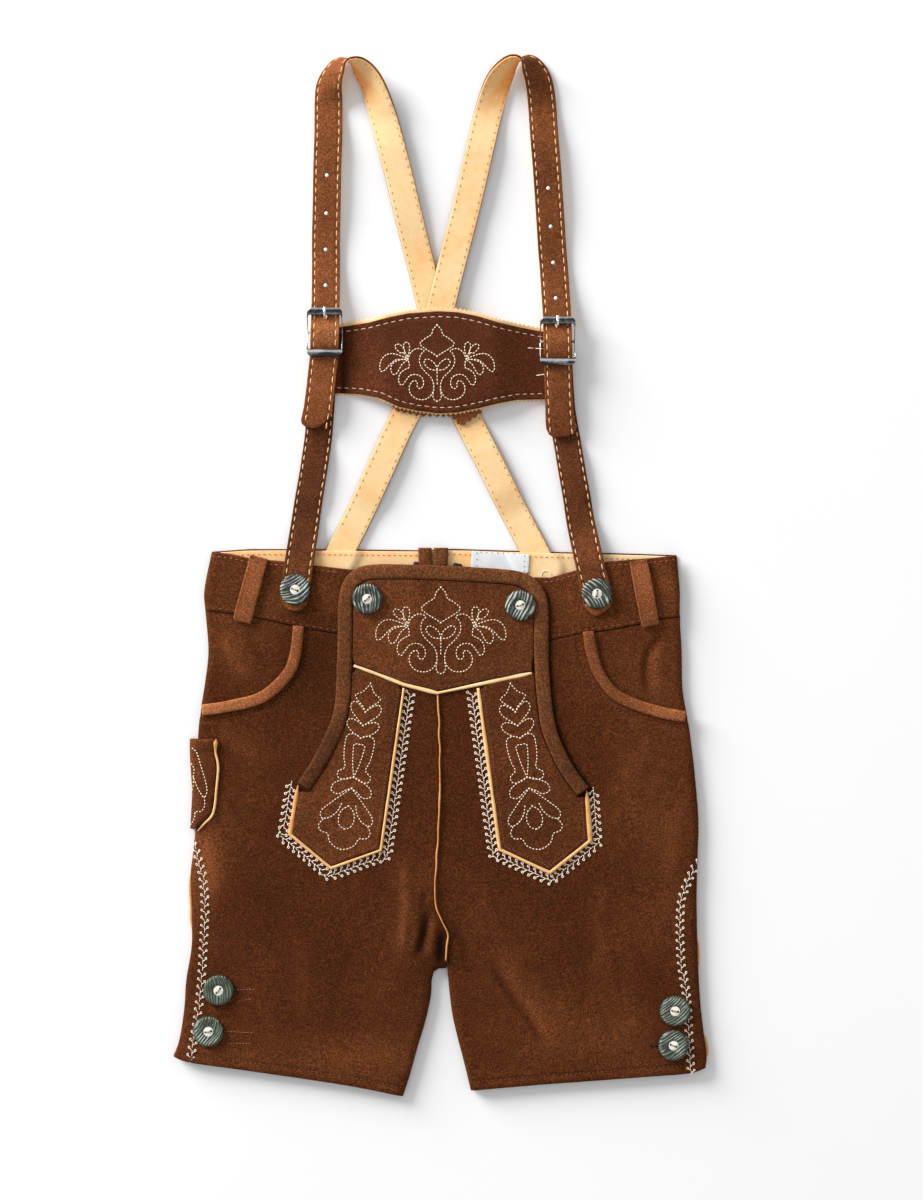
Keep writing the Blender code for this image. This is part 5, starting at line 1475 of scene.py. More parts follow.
buttonStraps = {
    "right": [
        (-99.9, -23.5, 7.6), (-98.7, -8.9, 7.6), (-97.2, 0, 7.6), (-95.8, 10, 7.5), (-94.2, 21.4, 5.4),
        (-92.4, 34, 2.2), (-90.9, 45, 0.3), (-89.3, 55, 0), (-86.4, 72.4, 0),
        (-84.2, 88, 0), (-83, 98, 0.3), (-82, 109, 1.9), (-81.2, 119, 3),
        (-80.4, 135, 3), (-79.2, 152, 3), (-78.3, 164.4, 3),
    ],
    "left": [
        (107, -26.9, 7.6), (106.1, -11.6, 7.6), (103.4, 0, 7.6), (101, 10.5, 7.5), (98.6, 21.4, 5.4),
        (96, 34, 2.2), (94.3, 44, 0.3), (92.9, 53, 0), (89.4, 72.4, 0), (86.9, 88, 0),
        (85.3, 97, 0.3), (83.5, 107, 1.9), (82.2, 116, 3), (81.2, 131, 3),
        (80.4, 146, 3), (79.7, 158.4, 3),
    ],
    "lining": 0.8, "thickness": 2, "half": 9.3, "arch": (38, 20, 96, 22),
    "tipRight": [(22, -9.9), (9, -9.9), (5, -8.6), (2, -6), (0.4, -3), (0, 0), (0.6, 3.4),
                 (2.6, 6.6), (5.4, 8.8), (9, 9.9), (22, 10.1)],
    "tipLeft": [(22, -10), (9, -10.2), (5.6, -8.6), (3, -5.2), (1, -1.6), (0, 1.2),
                (1.2, 4), (4.4, 7.4), (7.4, 9.6), (11, 10), (22, 10)],
}


def buttonStrapPath(side):
    # Up from the button and round the buckle's middle bar.
    rows = smoothLine(buttonStraps[side], 1.5)
    rows[:, 2] = np.maximum(rows[:, 2], 0.0) + 2.6 * archOf(rows[:, 1], 1.0, *buttonStraps["arch"])
    x, y = buckles[side]
    radius = buckles["wire"] / 2 + buckles["wireRoom"] + buttonStraps["thickness"]
    height = buckles["wireBottom"] + buckles["wire"] / 2
    turns = np.radians(np.linspace(-84.0, 8.0, 14))
    around = np.column_stack([np.full(14, x), y + radius * np.cos(turns), height + radius * np.sin(turns)])
    middle = np.vstack([rows, around])
    tangent = unitRows(np.gradient(middle, axis=0))
    across = np.column_stack([-tangent[:, 1], tangent[:, 0], np.zeros(len(middle))])
    across[len(rows) - 2:] = (-1.0, 0.0, 0.0)
    across = unitRows(across)
    up = np.cross(tangent, across)
    return walkedPath(middle, across, up, np.ones(len(middle)))


def buttonStrap(side):
    path, walked = buttonStrapPath(side)
    length = float(walked[-1])
    strapPaths["button_" + side] = (path, length, 0.0)
    tip, half = buttonStraps["tip" + side.capitalize()], buttonStraps["half"]
    outline = turnedLeft(np.array([(length, -half), (95.0, -half), *tip, (95.0, half), (length, half)]))
    low, high = buttonStraps["lining"], buttonStraps["thickness"]
    plain = strapShade(*straps["buttonTones"][side])

    def shade(flat):
        # Lighter above the button, and painted light at the tip most of all.
        above = 0.3 * smoothStep((75.0 - flat[:, 0]) / 30.0)
        return plain(flat) + above + 0.6 * smoothStep((9.0 - flat[:, 0]) / 3.0)

    suede = ribbon(f"button_strap_piece_{side}", path, outline, low + 0.05, high, "strapSuede",
                   rows=strapRows(length - 8), relief=stitchRelief, shade=shade)
    inner = offsetLoop(straightLine(closed(outline), 3.0)[:-1], 0.35)
    lining = ribbon(f"button_strap_lining_{side}", path, inner, 0.0, low, "bindingSuede", spacing=3.0)


def prongRings(side):
    x, y = buckles[side]
    line = smoothLine(buckles["prong"], 0.7)
    tangent = unitRows(np.gradient(line, axis=0))
    turns = aroundRing(12)
    walked = alongLine(line)
    rings = []
    for (along, height), (runY, runZ), step in zip(line, tangent, walked):
        flatter = 1 - 0.45 * float(smoothStep((step - walked[-1] + 3.5) / 3.0))
        wide = buckles["prongRadius"] * (1 + 0.3 * (1 - flatter))
        tall = buckles["prongRadius"] * flatter
        rings.append([(x + wide * math.cos(turn), y + along - runZ * tall * math.sin(turn),
                       height + runY * tall * math.sin(turn)) for turn in turns])
    return rings


def roundedBox(centre, halfWidth, low, high, corner, steps=5):
    # A closed outline, counterclockwise, with rounded corners.
    x, y = centre
    turns = np.linspace(0, math.pi / 2, steps)
    points = []
    for first, (sideX, sideY) in enumerate([(1, high), (-1, high), (-1, low), (1, low)]):
        cornerX = x + sideX * (halfWidth - corner)
        cornerY = y + sideY + (-corner if sideY == high else corner)
        for turn in turns + first * math.pi / 2:
            points.append((cornerX + corner * math.cos(turn), cornerY + corner * math.sin(turn)))
    return np.array(points)


def barrelled(loop, centre):
    # Drawn in above and below the middle, as the frame's sides are.
    up = loop[:, 1] - centre[1]
    narrow = 1 - np.where(up > 0, 0.13, 0.1) * smoothStep((np.abs(up) - 8.5) / 9.0)
    return np.column_stack([centre[0] + (loop[:, 0] - centre[0]) * narrow, loop[:, 1]])


def buckle(side):
    # A saddle-shaped frame whose sides dip to the middle bar, with its prong.
    centre = buckles[side]
    half = buckles["halfHeight"]
    window = buckles["halfWidth"] - buckles["sideBar"]
    outline = barrelled(roundedBox(centre, buckles["halfWidth"], -half, half, buckles["corner"]), centre)
    wire = buckles["wire"] / 2
    holes = []
    for low, high in ((wire, half - buckles["endBar"]), (buckles["endBar"] - half, -wire)):
        hole = roundedBox(centre, window, low, high, 0.8, steps=3)
        holes.append(barrelled(straightLine(closed(hole), 0.9)[:-1], centre))

    def lowSide(x, y):
        return buckles["wireBottom"] + buckles["rise"] * smoothStep((np.abs(y - centre[1]) - 1.2) / 9.6)

    def highSide(x, y):
        middle = smoothStep((3.0 - np.abs(y - centre[1])) / 2.0)
        return lowSide(x, y) + buckles["thickness"] + (buckles["wire"] - buckles["thickness"]) * middle

    def shade(x, y):
        # Painted reflections: the upper bar is dark, the lower one streaked, and the sides bright, with one
        # dark inner slope.
        up, out = y - centre[1], np.abs(x - centre[0])
        upper = smoothStep((up - 9.5) / 1.2)
        lower = smoothStep((-up - 10.8) / 0.8)
        streak = hill(up + 12.9, 0.75) + 0.35 * softNoise(x / 4, y, 1.6, centre[0])
        inner = smoothStep((window + 0.45 * buckles["sideBar"] - out) / 0.5)
        sides = np.where(x > centre[0], 1.0 - 0.95 * inner, 0.1 + 0.9 * np.exp(-((up + 1.5) / 6.0) ** 4))
        # A painted highlight along the upper bar's rim.
        rim = 0.75 * hill(up - half + 0.6, 0.5) + 0.25 * hill(up - half + 4.4, 0.4)
        return sides * (1 - upper) * (1 - lower) + upper * rim + lower * streak

    plate(f"buckle_piece_{side}", outline, highSide, lowSide, "darkChrome", spacing=1.0, edge=0.95,
          holes=holes, shade=shade, rim=0.0)
    prong = np.array(prongRings(side))
    # Painted reflection: the prong is bright all over.
    loft(f"buckle_prong_piece_{side}", prong, "darkChrome", np.ones(prong.shape[:2]))


for side in outward:
    longStrap(side)
    buttonStrap(side)
    buckle(side)
print("braces made")


# Chest bar.

chest = {
    "top": [(-80, 168.4), (-64.7, 170.6), (-48.6, 172.7), (-35.1, 176), (-21.7, 178.7),
            (-1.5, 180.1), (11.9, 179.4), (25.4, 176.7), (38.8, 172.7), (52.3, 169.9),
            (67.3, 167.3), (80, 165.6)],
    "bottom": [(-80, 125), (-69, 124.9), (-55.4, 124.2), (-41.8, 121.5), (-28.4, 115.3),
               (-15, 112.5), (-1.5, 110.8), (11.9, 111.5), (25.4, 114.2), (38.8, 117.5),
               (52.3, 120.2), (69.7, 120.9), (80, 121.2)],
    "patch": [(-28, 168), (-31, 132), (-31, 114), (-14, 110.4), (0, 110),
              (8, 110), (14, 103.4), (27, 112), (28, 132), (25, 168)],
    "patchThickness": 1, "reach": 69, "slope": 36, "lining": 1, "liningShows": 0.9,
    "teeth": 1.5, "pitch": 3.5, "patchTeeth": 1.7, "patchPitch": 4.4, "liningRise": 0.8, "suede": 1.6,
    "stitchInset": 3.7,
}


def pinked(loop, depth, pitch):
    # A loop with a zigzag edge, its teeth standing out.
    around = straightLine(closed(loop), pitch / 2)[:-1]
    if len(around) % 2:
        around = around[:-1]
    outer = offsetLoop(around, -depth)
    teeth = (np.arange(len(around)) % 2 == 1)[:, None]
    return np.where(teeth, outer, around)


def crossingHeight(y):
    rows = [(row[1], row[2]) for row in strapTables["left"] if row[3] == 180]
    return onTable(rows, y) + straps["outer"]


def patchBottom(x, y):
    return crossingHeight(y) + 2 * gap


def barBottom(x, y):
    over = patchBottom(x, y) + chest["patchThickness"] + laidOn
    return over * smoothStep((chest["reach"] - np.abs(x)) / chest["slope"])


def chestBar():
    patch = pinked(np.array(chest["patch"]), chest["patchTeeth"], chest["patchPitch"])
    plate("crossing_patch_piece", patch, lambda x, y: patchBottom(x, y) + chest["patchThickness"],
          patchBottom, "bindingSuede", spacing=3.0, edge=0.35, shade=level(-0.1),
          restsOn=["strap_lining_piece_left"])
    loop = np.array(chest["bottom"] + chest["top"][::-1])
    loop = straightLine(closed(loop), 3.0)[:-1]
    lining = pinked(offsetLoop(loop, -chest["liningShows"]), chest["teeth"], chest["pitch"])
    lining = lining + np.array([0.0, chest["liningRise"]])
    low = chest["lining"]
    plate("chest_bar_lining_piece", lining, lambda x, y: barBottom(x, y) + low, barBottom, "tanLeather",
          spacing=4.0, edge=0.3, restsOn=["crossing_patch_piece", "strap_lining_piece_left"])
    inset = offsetLoop(loop, chest["stitchInset"])
    rows = [inset] + [offsetLoop(loop, chest["stitchInset"] + away) for away in (-1.0, 1.0)]

    def top(x, y):
        away = distanceTo(np.column_stack([x, y]), closed(inset))
        pull = 0.3 * hill(away, 0.8) - 0.12 * hill(away - 2.0, 1.1)
        swell = 0.25 * softNoise(x, y, 19.0, 14.0) + 0.12 * softNoise(x, y, 7.0, 15.0)
        return barBottom(x, y) + low + gap + chest["suede"] - pull + swell * 0.5

    def shade(x, y):
        away = distanceTo(np.column_stack([x, y]), closed(inset))
        # Hardly any light reaches it beside the brace that crosses over.
        beside = smoothStep((x + 68.6) / 1.2) * np.exp(-np.maximum(x + 66.0, 0.0) / 3.4)
        # Random tone, painted shade in the stitch groove, and the painted shadow beside the brace.
        return 0.16 * softNoise(x, y, 21.0, 9.0) - 0.2 * hill(away, 0.9) - 1.3 * beside

    plate("chest_bar_piece", loop, top, lambda x, y: barBottom(x, y) + low + gap, "barSuede",
          spacing=1.8, edge=0.7, rows=rows, shade=shade, restsOn=["chest_bar_lining_piece"])


chestBar()
print("chest bar made")


# Buttons, turned horn with cut grooves round a pale eye.

buttons = {
    "radius": 10.4, "segments": 168,
    "profile": [(8.8, 0), (10, 0.5), (10.4, 1.3), (10.35, 1.9), (10, 2.55), (9.5, 2.95), (8.6, 3.2),
                (7.4, 3.2), (6.2, 3.05), (5.2, 2.95), (4.3, 2.85), (3.7, 2.6), (3.3, 2.35), (3, 2.45),
                (2.2, 2.6), (1.2, 2.65), (0.4, 2.65)],
    # the ring that is grooved, from inside to outside, and how far its edges soften
    "groove": 0.3, "grooved": (3.6, 10.35), "grooveSoft": (0.9, 0.6), "eye": 3.4,
    "hole": 0.78, "holeAway": 1.95, "holeHeight": 2.7, "holesTurned": 40.0,
    # the thread between the holes: half its width, how far it reaches, its height and its bow
    "thread": 0.45, "threadReach": 1.7, "threadHeight": 2.6, "threadBow": 0.42,
    # middle, seat, turn of the grain, and how far the grain spreads and bends
    "places": {
        "strap_button_right": (-98.7, -8.9, 9.6, -62, 0.002, 0.03),
        "strap_button_left": (106.1, -11.6, 9.6, 40, 0, 0.02),
        "flap_button_right": (-49.8, -15.2, 9.05, 4, 0.005, 0),
        "flap_button_left": (54.1, -19.5, 9.05, -24, 0.002, 0.01),
        "leg_button_right_upper": (-150.9, -281.2, None, 10, 0.003, 0.01),
        "leg_button_right_lower": (-157.7, -309.1, None, -30, 0, 0.02),
        "leg_button_left_upper": (159.3, -295.2, None, -50, 0.002, 0.02),
        "leg_button_left_lower": (158.3, -318.6, None, -60, 0, 0.01),
    },
}


def buttonHole(x, y, low):
    # Painted shade: a dark disc just proud of the eye stands for the hole.
    turns = aroundRing(12)
    points = [(x + buttons["hole"] * math.cos(turn), y + buttons["hole"] * math.sin(turn),
               low + buttons["holeHeight"]) for turn in turns]
    points += [(x, y, low + 2.74), (x, y, low + 2.5)]
    faces = []
    for i in range(12):
        j = (i + 1) % 12
        faces += [[i, j, 12], [j, i, 13]]
    return points, faces


def buttonStitch(x, y, low, axis):
    # The thread from one hole to the other.
    points, faces = [], []
    for step in np.linspace(-1, 1, 9):
        bow = math.sqrt(max(0.0, 1 - step * step))
        for turn in aroundRing(8):
            beside, along = buttons["thread"] * math.cos(turn), step * buttons["threadReach"]
            height = low + buttons["threadHeight"] + buttons["threadBow"] * bow + 0.4 * math.sin(turn)
            points.append((x + along * math.cos(axis) - beside * math.sin(axis),
                           y + along * math.sin(axis) + beside * math.cos(axis), height))
    for i in range(8):
        for j in range(8):
            a, b = i * 8 + j, i * 8 + (j + 1) % 8
            faces.append([a, a + 8, b + 8, b])
    return points, faces + [list(range(8)), list(range(71, 63, -1))]


def hornButton(name, x, y, seat, turned, spreads, bend, seed):
    if seat is None:
        round8 = np.arange(8) * math.pi / 4
        radius = buttons["radius"]
        seat = float(frontTop(x + radius * np.cos(round8), y + radius * np.sin(round8), fine=False).max())
    low = seat + gap
    turn = aroundRing(buttons["segments"])
    rings, tones, streaks = [], [], []
    (inner, outer), (innerSoft, outerSoft) = buttons["grooved"], buttons["grooveSoft"]
    for radius, height in buttons["profile"]:
        inside = float(smoothStep((radius - inner) / innerSoft) * smoothStep((outer - radius) / outerSoft))
        across, along = radius * np.cos(turn), radius * np.sin(turn)
        streaks += np.column_stack([across * (1 + spreads * along ** 2) + bend * along ** 2, along,
                                    0 * turn + 13.0 * seed]).tolist()
        wobble = softNoise(across, along / 5, 2.2, seed)
        rise = low + height + buttons["groove"] * wobble * inside
        rings.append(np.column_stack([x + radius * np.cos(turn + math.radians(turned)),
                                      y + radius * np.sin(turn + math.radians(turned)), rise]))
        tones.append(np.full(len(turn), inside - 1.0 if radius > buttons["eye"] else 0.0))
    points, faces = lofted(rings)
    eyeFrom = sum(radius > buttons["eye"] for radius, _ in buttons["profile"]) * len(turn)
    sorts = [1 if min(face) >= eyeFrom else 0 for face in faces]
    points, faces = points.tolist(), list(faces)
    axis = math.radians(turned + buttons["holesTurned"])
    away = buttons["holeAway"]
    added = [(2, buttonHole(x + sign * away * math.cos(axis), y + sign * away * math.sin(axis), low))
             for sign in (-1, 1)]
    for sort, (morePoints, moreFaces) in added + [(3, buttonStitch(x, y, low, axis))]:
        faces += [[len(points) + index for index in face] for face in moreFaces]
        sorts += [sort] * len(moreFaces)
        points += morePoints
    tone = np.zeros(len(points))
    tone[:len(streaks)] = np.ravel(tones)
    horn = "legHorn" if name.startswith("leg_") else "horn"
    piece = addPiece(name + "_piece", points, faces, [horn, "eye", "darkHole", "buttonThread"], shade=tone,
                     sorts=sorts)
    streaks += [(0.0, 0.0, 0.0)] * (len(points) - len(streaks))
    piece.data.attributes.new("streak", "FLOAT_VECTOR", "POINT").data.foreach_set(
        "vector", (np.array(streaks) * mm).ravel())


for count, (name, place) in enumerate(buttons["places"].items()):
    hornButton(name, *place, 1.7 * count + 0.4)
print("buttons made")


# Stitches, set along their paths by one Geometry Nodes tree.

def stitchTree():
    # Instances a unit along every path, turned to the path and to its surface, with slight unevenness.
    tree = bpy.data.node_groups.new("runningStitch", "GeometryNodeTree")
    sockets = {}
    for label, kind in (("Geometry", "Geometry"), ("Unit", "Object"), ("Pitch", "Float"),
                        ("Length", "Float"), ("Width", "Float"), ("Wobble", "Float"), ("Seed", "Int"),
                        ("Thread", "Material")):
        sockets[label] = tree.interface.new_socket(label, in_out="INPUT",
                                                   socket_type="NodeSocket" + kind).identifier
    tree.interface.new_socket("Geometry", in_out="OUTPUT", socket_type="NodeSocketGeometry")
    made, links = {}, tree.links

    def node(name, kind, **settings):
        made[name] = tree.nodes.new(kind)
        for key, value in settings.items():
            setattr(made[name], key, value)
        return made[name]

    def link(start, end):
        links.new(made[start[0]].outputs[start[1]], made[end[0]].inputs[end[1]])

    node("inputs", "NodeGroupInput")
    node("outputs", "NodeGroupOutput")
    node("curve", "GeometryNodeMeshToCurve")
    node("even", "GeometryNodeResampleCurve", mode="LENGTH")
    node("tangent", "GeometryNodeInputTangent")
    up = node("up", "GeometryNodeInputNamedAttribute", data_type="FLOAT_VECTOR")
    up.inputs["Name"].default_value = "up"
    node("along", "FunctionNodeAlignRotationToVector", axis="X")
    node("upright", "FunctionNodeAlignRotationToVector", axis="Z", pivot_axis="X")
    for name, shift in (("yaw", 0), ("stretch", 17)):
        node(name + "Seed", "FunctionNodeInputInt")
        made[name + "Seed"].integer = shift
        node(name + "Sum", "ShaderNodeMath", operation="ADD")
        random = node(name, "FunctionNodeRandomValue", data_type="FLOAT")
        random.inputs[2].default_value = -1.0
        random.inputs[3].default_value = 1.0
        node(name + "Size", "ShaderNodeMath", operation="MULTIPLY")
        link(("inputs", "Seed"), (name + "Sum", 0))
        link((name + "Seed", 0), (name + "Sum", 1))
        link((name + "Sum", 0), (name, "Seed"))
        link((name, 1), (name + "Size", 0))
        link(("inputs", "Wobble"), (name + "Size", 1))
    node("turn", "ShaderNodeCombineXYZ")
    node("euler", "FunctionNodeEulerToRotation")
    node("turned", "FunctionNodeRotateRotation", rotation_space="LOCAL")
    node("longer", "ShaderNodeMath", operation="MULTIPLY_ADD")
    node("size", "ShaderNodeCombineXYZ")
    node("unit", "GeometryNodeObjectInfo").inputs["As Instance"].default_value = True
    node("placed", "GeometryNodeInstanceOnPoints")
    node("real", "GeometryNodeRealizeInstances")
    node("finish", "GeometryNodeSetMaterial")
    for start, end in ((("inputs", "Geometry"), ("curve", "Mesh")), (("curve", 0), ("even", "Curve")),
                       (("inputs", "Pitch"), ("even", "Length")), (("tangent", 0), ("along", "Vector")),
                       (("along", 0), ("upright", "Rotation")), (("up", 0), ("upright", "Vector")),
                       (("yawSize", 0), ("turn", "Z")), (("turn", 0), ("euler", 0)),
                       (("upright", 0), ("turned", 0)), (("euler", 0), ("turned", 1)),
                       (("stretchSize", 0), ("longer", 0)), (("inputs", "Length"), ("longer", 1)),
                       (("inputs", "Length"), ("longer", 2)), (("longer", 0), ("size", "X")),
                       (("inputs", "Width"), ("size", "Y")), (("inputs", "Width"), ("size", "Z")),
                       (("inputs", "Unit"), ("unit", "Object")), (("even", 0), ("placed", "Points")),
                       (("unit", "Geometry"), ("placed", "Instance")),
                       (("turned", 0), ("placed", "Rotation")), (("size", 0), ("placed", "Scale")),
                       (("placed", 0), ("real", 0)), (("real", 0), ("finish", "Geometry")),
                       (("inputs", "Thread"), ("finish", "Material")), (("finish", 0), ("outputs", 0))):
        link(start, end)
    return tree, sockets


def bead(start, end, radius, sides, profile, sag=0.0):
    # A short round stitch between two points, sinking at its ends.
    start, end = np.array(start, float), np.array(end, float)
    run = (end - start) / np.linalg.norm(end - start)
    left = np.array([-run[1], run[0], 0.0])
    turns = aroundRing(sides)
    rings = []
    for share, size in profile:
        middle = start + (end - start) * share + np.array([0, 0, -sag * (2 * share - 1) ** 2])
        rings.append([middle + radius * size * (left * math.cos(a) + np.array([0, 0, math.sin(a)]))
                      for a in turns])
    return lofted(rings)


def loopBead(centre, ringRadius, radius):
    # A loop of thread, drawn up into a ring.
    turns, around = aroundRing(9), aroundRing(5)
    points = [(centre[0] + (ringRadius + radius * math.cos(b)) * math.cos(a),
               centre[1] + (ringRadius + radius * math.cos(b)) * math.sin(a),
               centre[2] + radius * math.sin(b)) for a in turns for b in around]
    faces = [[i * 5 + j, (i + 1) % 9 * 5 + j, (i + 1) % 9 * 5 + (j + 1) % 5, i * 5 + (j + 1) % 5]
             for i in range(9) for j in range(5)]
    return points, faces


def unitOf(name, parts):
    points, faces = [], []
    for some, sides in parts:
        faces += [[index + len(points) for index in face] for face in sides]
        points += np.asarray(some).tolist()
    mesh = bpy.data.meshes.new(name)
    mesh.from_pydata((np.array(points) * mm).tolist(), [], faces)
    mesh.shade_smooth()
    unit = bpy.data.objects.new(name, mesh)
    scene.collection.objects.link(unit)
    return unit


longShape = [(0.0, 0.3), (0.1, 0.8), (0.5, 1.0), (0.9, 0.8), (1.0, 0.3)]
dotShape = [(0.0, 0.35), (0.25, 0.95), (0.75, 0.95), (1.0, 0.35)]
unitParts = {
    "longStitch": [bead((-0.5, 0, 0.1), (0.5, 0, 0.1), 0.5, 6, longShape, 0.35)],
    "dotStitch": [bead((-0.5, 0, 0.12), (0.5, 0, 0.12), 0.5, 5, dotShape, 0.3)],
    "needleHole": [bead((-0.5, 0, 0), (0.5, 0, 0), 0.5, 6, [(0.0, 0.3), (0.5, 1.0), (1.0, 0.3)], 0.0)],
    "featherStitch": [part for side, first in ((-1, 0.0), (1, 1.95)) for part in (
        loopBead((first, 2.75 * side, 0.4), 0.72, 0.32),
        bead((first + 0.5, 2.3 * side, 0.55), (first + 2.4, -0.2 * side, 0.4), 0.31, 5, dotShape, 0.1),
        bead((first + 2.4, -0.1 * side, 0.4), (first + 4.4, 0.1 * side, 0.4), 0.26, 5, dotShape, 0.1))],
}
units = {name: unitOf(name, parts) for name, parts in unitParts.items()}
stitching, stitchSockets = stitchTree()


def surfaceOf(*names):
    # One search tree over several finished pieces.
    points, faces = [], []
    for name in names:
        mesh = bpy.data.objects[name].data
        faces += [[index + len(points) for index in face.vertices] for face in mesh.polygons]
        points += [tuple(vertex.co) for vertex in mesh.vertices]
    return BVHTree.FromPolygons(points, faces)


def dropped(line, surface, lift=0.0):
    # The line laid on what lies under it, with the way up at each point.
    line = straightLine(line, 0.8)[:, :2]
    found = []
    for x, y in line.tolist():
        place, normal, _, _ = surface.ray_cast(Vector((x, y, 60.0)) * mm, Vector((0, 0, -1)))
        if place is not None:
            found.append((x, y, place.z / mm + lift, *normal))
    found = np.array(found)
    if len(found) > 4:
        for column in range(2, 6):
            padded = np.pad(found[:, column], 2, mode="edge")
            found[:, column] = np.convolve(padded, np.ones(5) / 5, "valid")
    return found


def sew(name, lines, look, seed):
    # Stitches of one look along lines of x, y, z and the way up.
    points, edges = [], []
    for line in lines:
        if len(line) > 1:
            edges += [(len(points) + i, len(points) + i + 1) for i in range(len(line) - 1)]
            points += np.asarray(line).tolist()
    points = np.array(points)
    mesh = bpy.data.meshes.new(name)
    mesh.from_pydata((points[:, :3] * mm).tolist(), edges, [])
    mesh.attributes.new("up", "FLOAT_VECTOR", "POINT").data.foreach_set("vector", points[:, 3:6].ravel())
    piece = bpy.data.objects.new(name, mesh)
    scene.collection.objects.link(piece)
    modifier = piece.modifiers.new("stitches", "NODES")
    modifier.node_group = stitching
    unit, pitch, length, width, wobble, thread = stitchLooks[look]
    for label, value in (("Unit", units[unit]), ("Pitch", pitch * mm), ("Length", length), ("Width", width),
                         ("Wobble", wobble), ("Seed", seed), ("Thread", finishes[thread])):
        modifier[stitchSockets[label]] = value
    graph = bpy.context.evaluated_depsgraph_get()
    sewn = bpy.data.meshes.new_from_object(piece.evaluated_get(graph), depsgraph=graph)
    piece.modifiers.remove(modifier)
    piece.data = sewn
    sewn.name = name
    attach(piece, "root")


def sewOn(surface, name, lines, look, seed, lift=0.0):
    # The same along lines in the plane, laid on a surface.
    sew(name, [dropped(line, surface, lift) for line in lines], look, seed)


# unit, pitch, length, width, wobble and thread of each look
stitchLooks = {
    "strap": ("longStitch", 6.2, 4.4, 0.85, 0.07, "strapThread"),
    "strapWide": ("longStitch", 6.0, 4.2, 0.85, 0.07, "strapThread"),
    "needle": ("needleHole", 5.4, 1.7, 0.65, 0.15, "needleHole"),
    "labelRow": ("needleHole", 3.4, 0.9, 0.8, 0.2, "labelHole"),
    # the slits are painted shade, dark marks along each buttonhole's cut
    "slit": ("longStitch", 3.4, 3.4, 1.5, 0.0, "darkThread"),
    "knot": ("longStitch", 2.2, 4.2, 3.4, 0.25, "darkThread"),
    "stripRow": ("longStitch", 2.2, 1.1, 0.5, 0.2, "waistThread"),
    "threadEnd": ("longStitch", 0.8, 1.1, 0.55, 0.0, "creamThread"),
    "bar": ("longStitch", 5.2, 3.7, 0.66, 0.06, "barThread"),
    "embroidery": ("dotStitch", 2.14, 1.55, 0.74, 0.12, "ivoryThread"),
    "barEmbroidery": ("dotStitch", 2.1, 1.7, 0.76, 0.08, "ivoryThread"),
    "seam": ("longStitch", 3.0, 1.5, 0.5, 0.25, "waistThread"),
    "feather": ("featherStitch", 4.56, 1.0, 1.0, 0.05, "creamThread"),
    "sideFeather": ("featherStitch", 5.1, 0.9, 0.8, 0.12, "creamThread"),
    "faint": ("longStitch", 3.6, 2.5, 0.5, 0.1, "brownThread"),
    "waistTop": ("longStitch", 3.9, 2.3, 0.75, 0.2, "rustThread"),
    "waistSeam": ("longStitch", 4.4, 2.5, 0.6, 0.15, "waistThread"),
    "facingRow": ("needleHole", 3.7, 2.0, 0.65, 0.2, "needleHole"),
    "eyelet": ("longStitch", 2.1, 1.6, 0.6, 0.3, "rustThread"),
    "loose": ("longStitch", 9.0, 6.0, 0.8, 0.0, "creamThread"),
}

# An own ornament in the traditional manner. Halves are mirrored, and y is up from the bud's lower tip.
ornament = {
    "bud": [(0, 24), (3.2, 20.5), (4.6, 16.5), (9, 13.8), (13.2, 9.6), (9.5, 6), (4, 2.6), (0, 0)],
    "flame": [(22.5, -2.2), (20.6, 2.2), (17.4, 5.2), (13.6, 5.8), (10.2, 4), (12.6, 1.2), (13.6, -3.4),
              (12.4, -8), (8.6, -12.6), (4.6, -16.6), (2.8, -21)],
    "volute": [(2.8, -21), (2.6, -25), (4.6, -30), (9.4, -33.2), (15.8, -32.8), (20.4, -29), (21.4, -23.6),
               (18.8, -19.4), (15.4, -19.6), (15.4, -23.2), (13, -25), (10.6, -22.2), (11.2, -17.2),
               (15.6, -14.2), (21, -15), (24.6, -19.4), (27.2, -22.4), (29.6, -19.2), (28.6, -13.6),
               (25, -10.4), (21.6, -8.6), (21.8, -4.8), (22.5, -2.2)],
    "leaf": [(0, -10), (1.6, -6), (6.2, -2.4), (9.8, -3.2), (9.2, -6.8), (5.2, -10.2), (0, -10.8)],
    "drop": [(2.8, -21), (2.6, -26), (3.2, -31), (1.8, -34), (0, -34.6)],
}
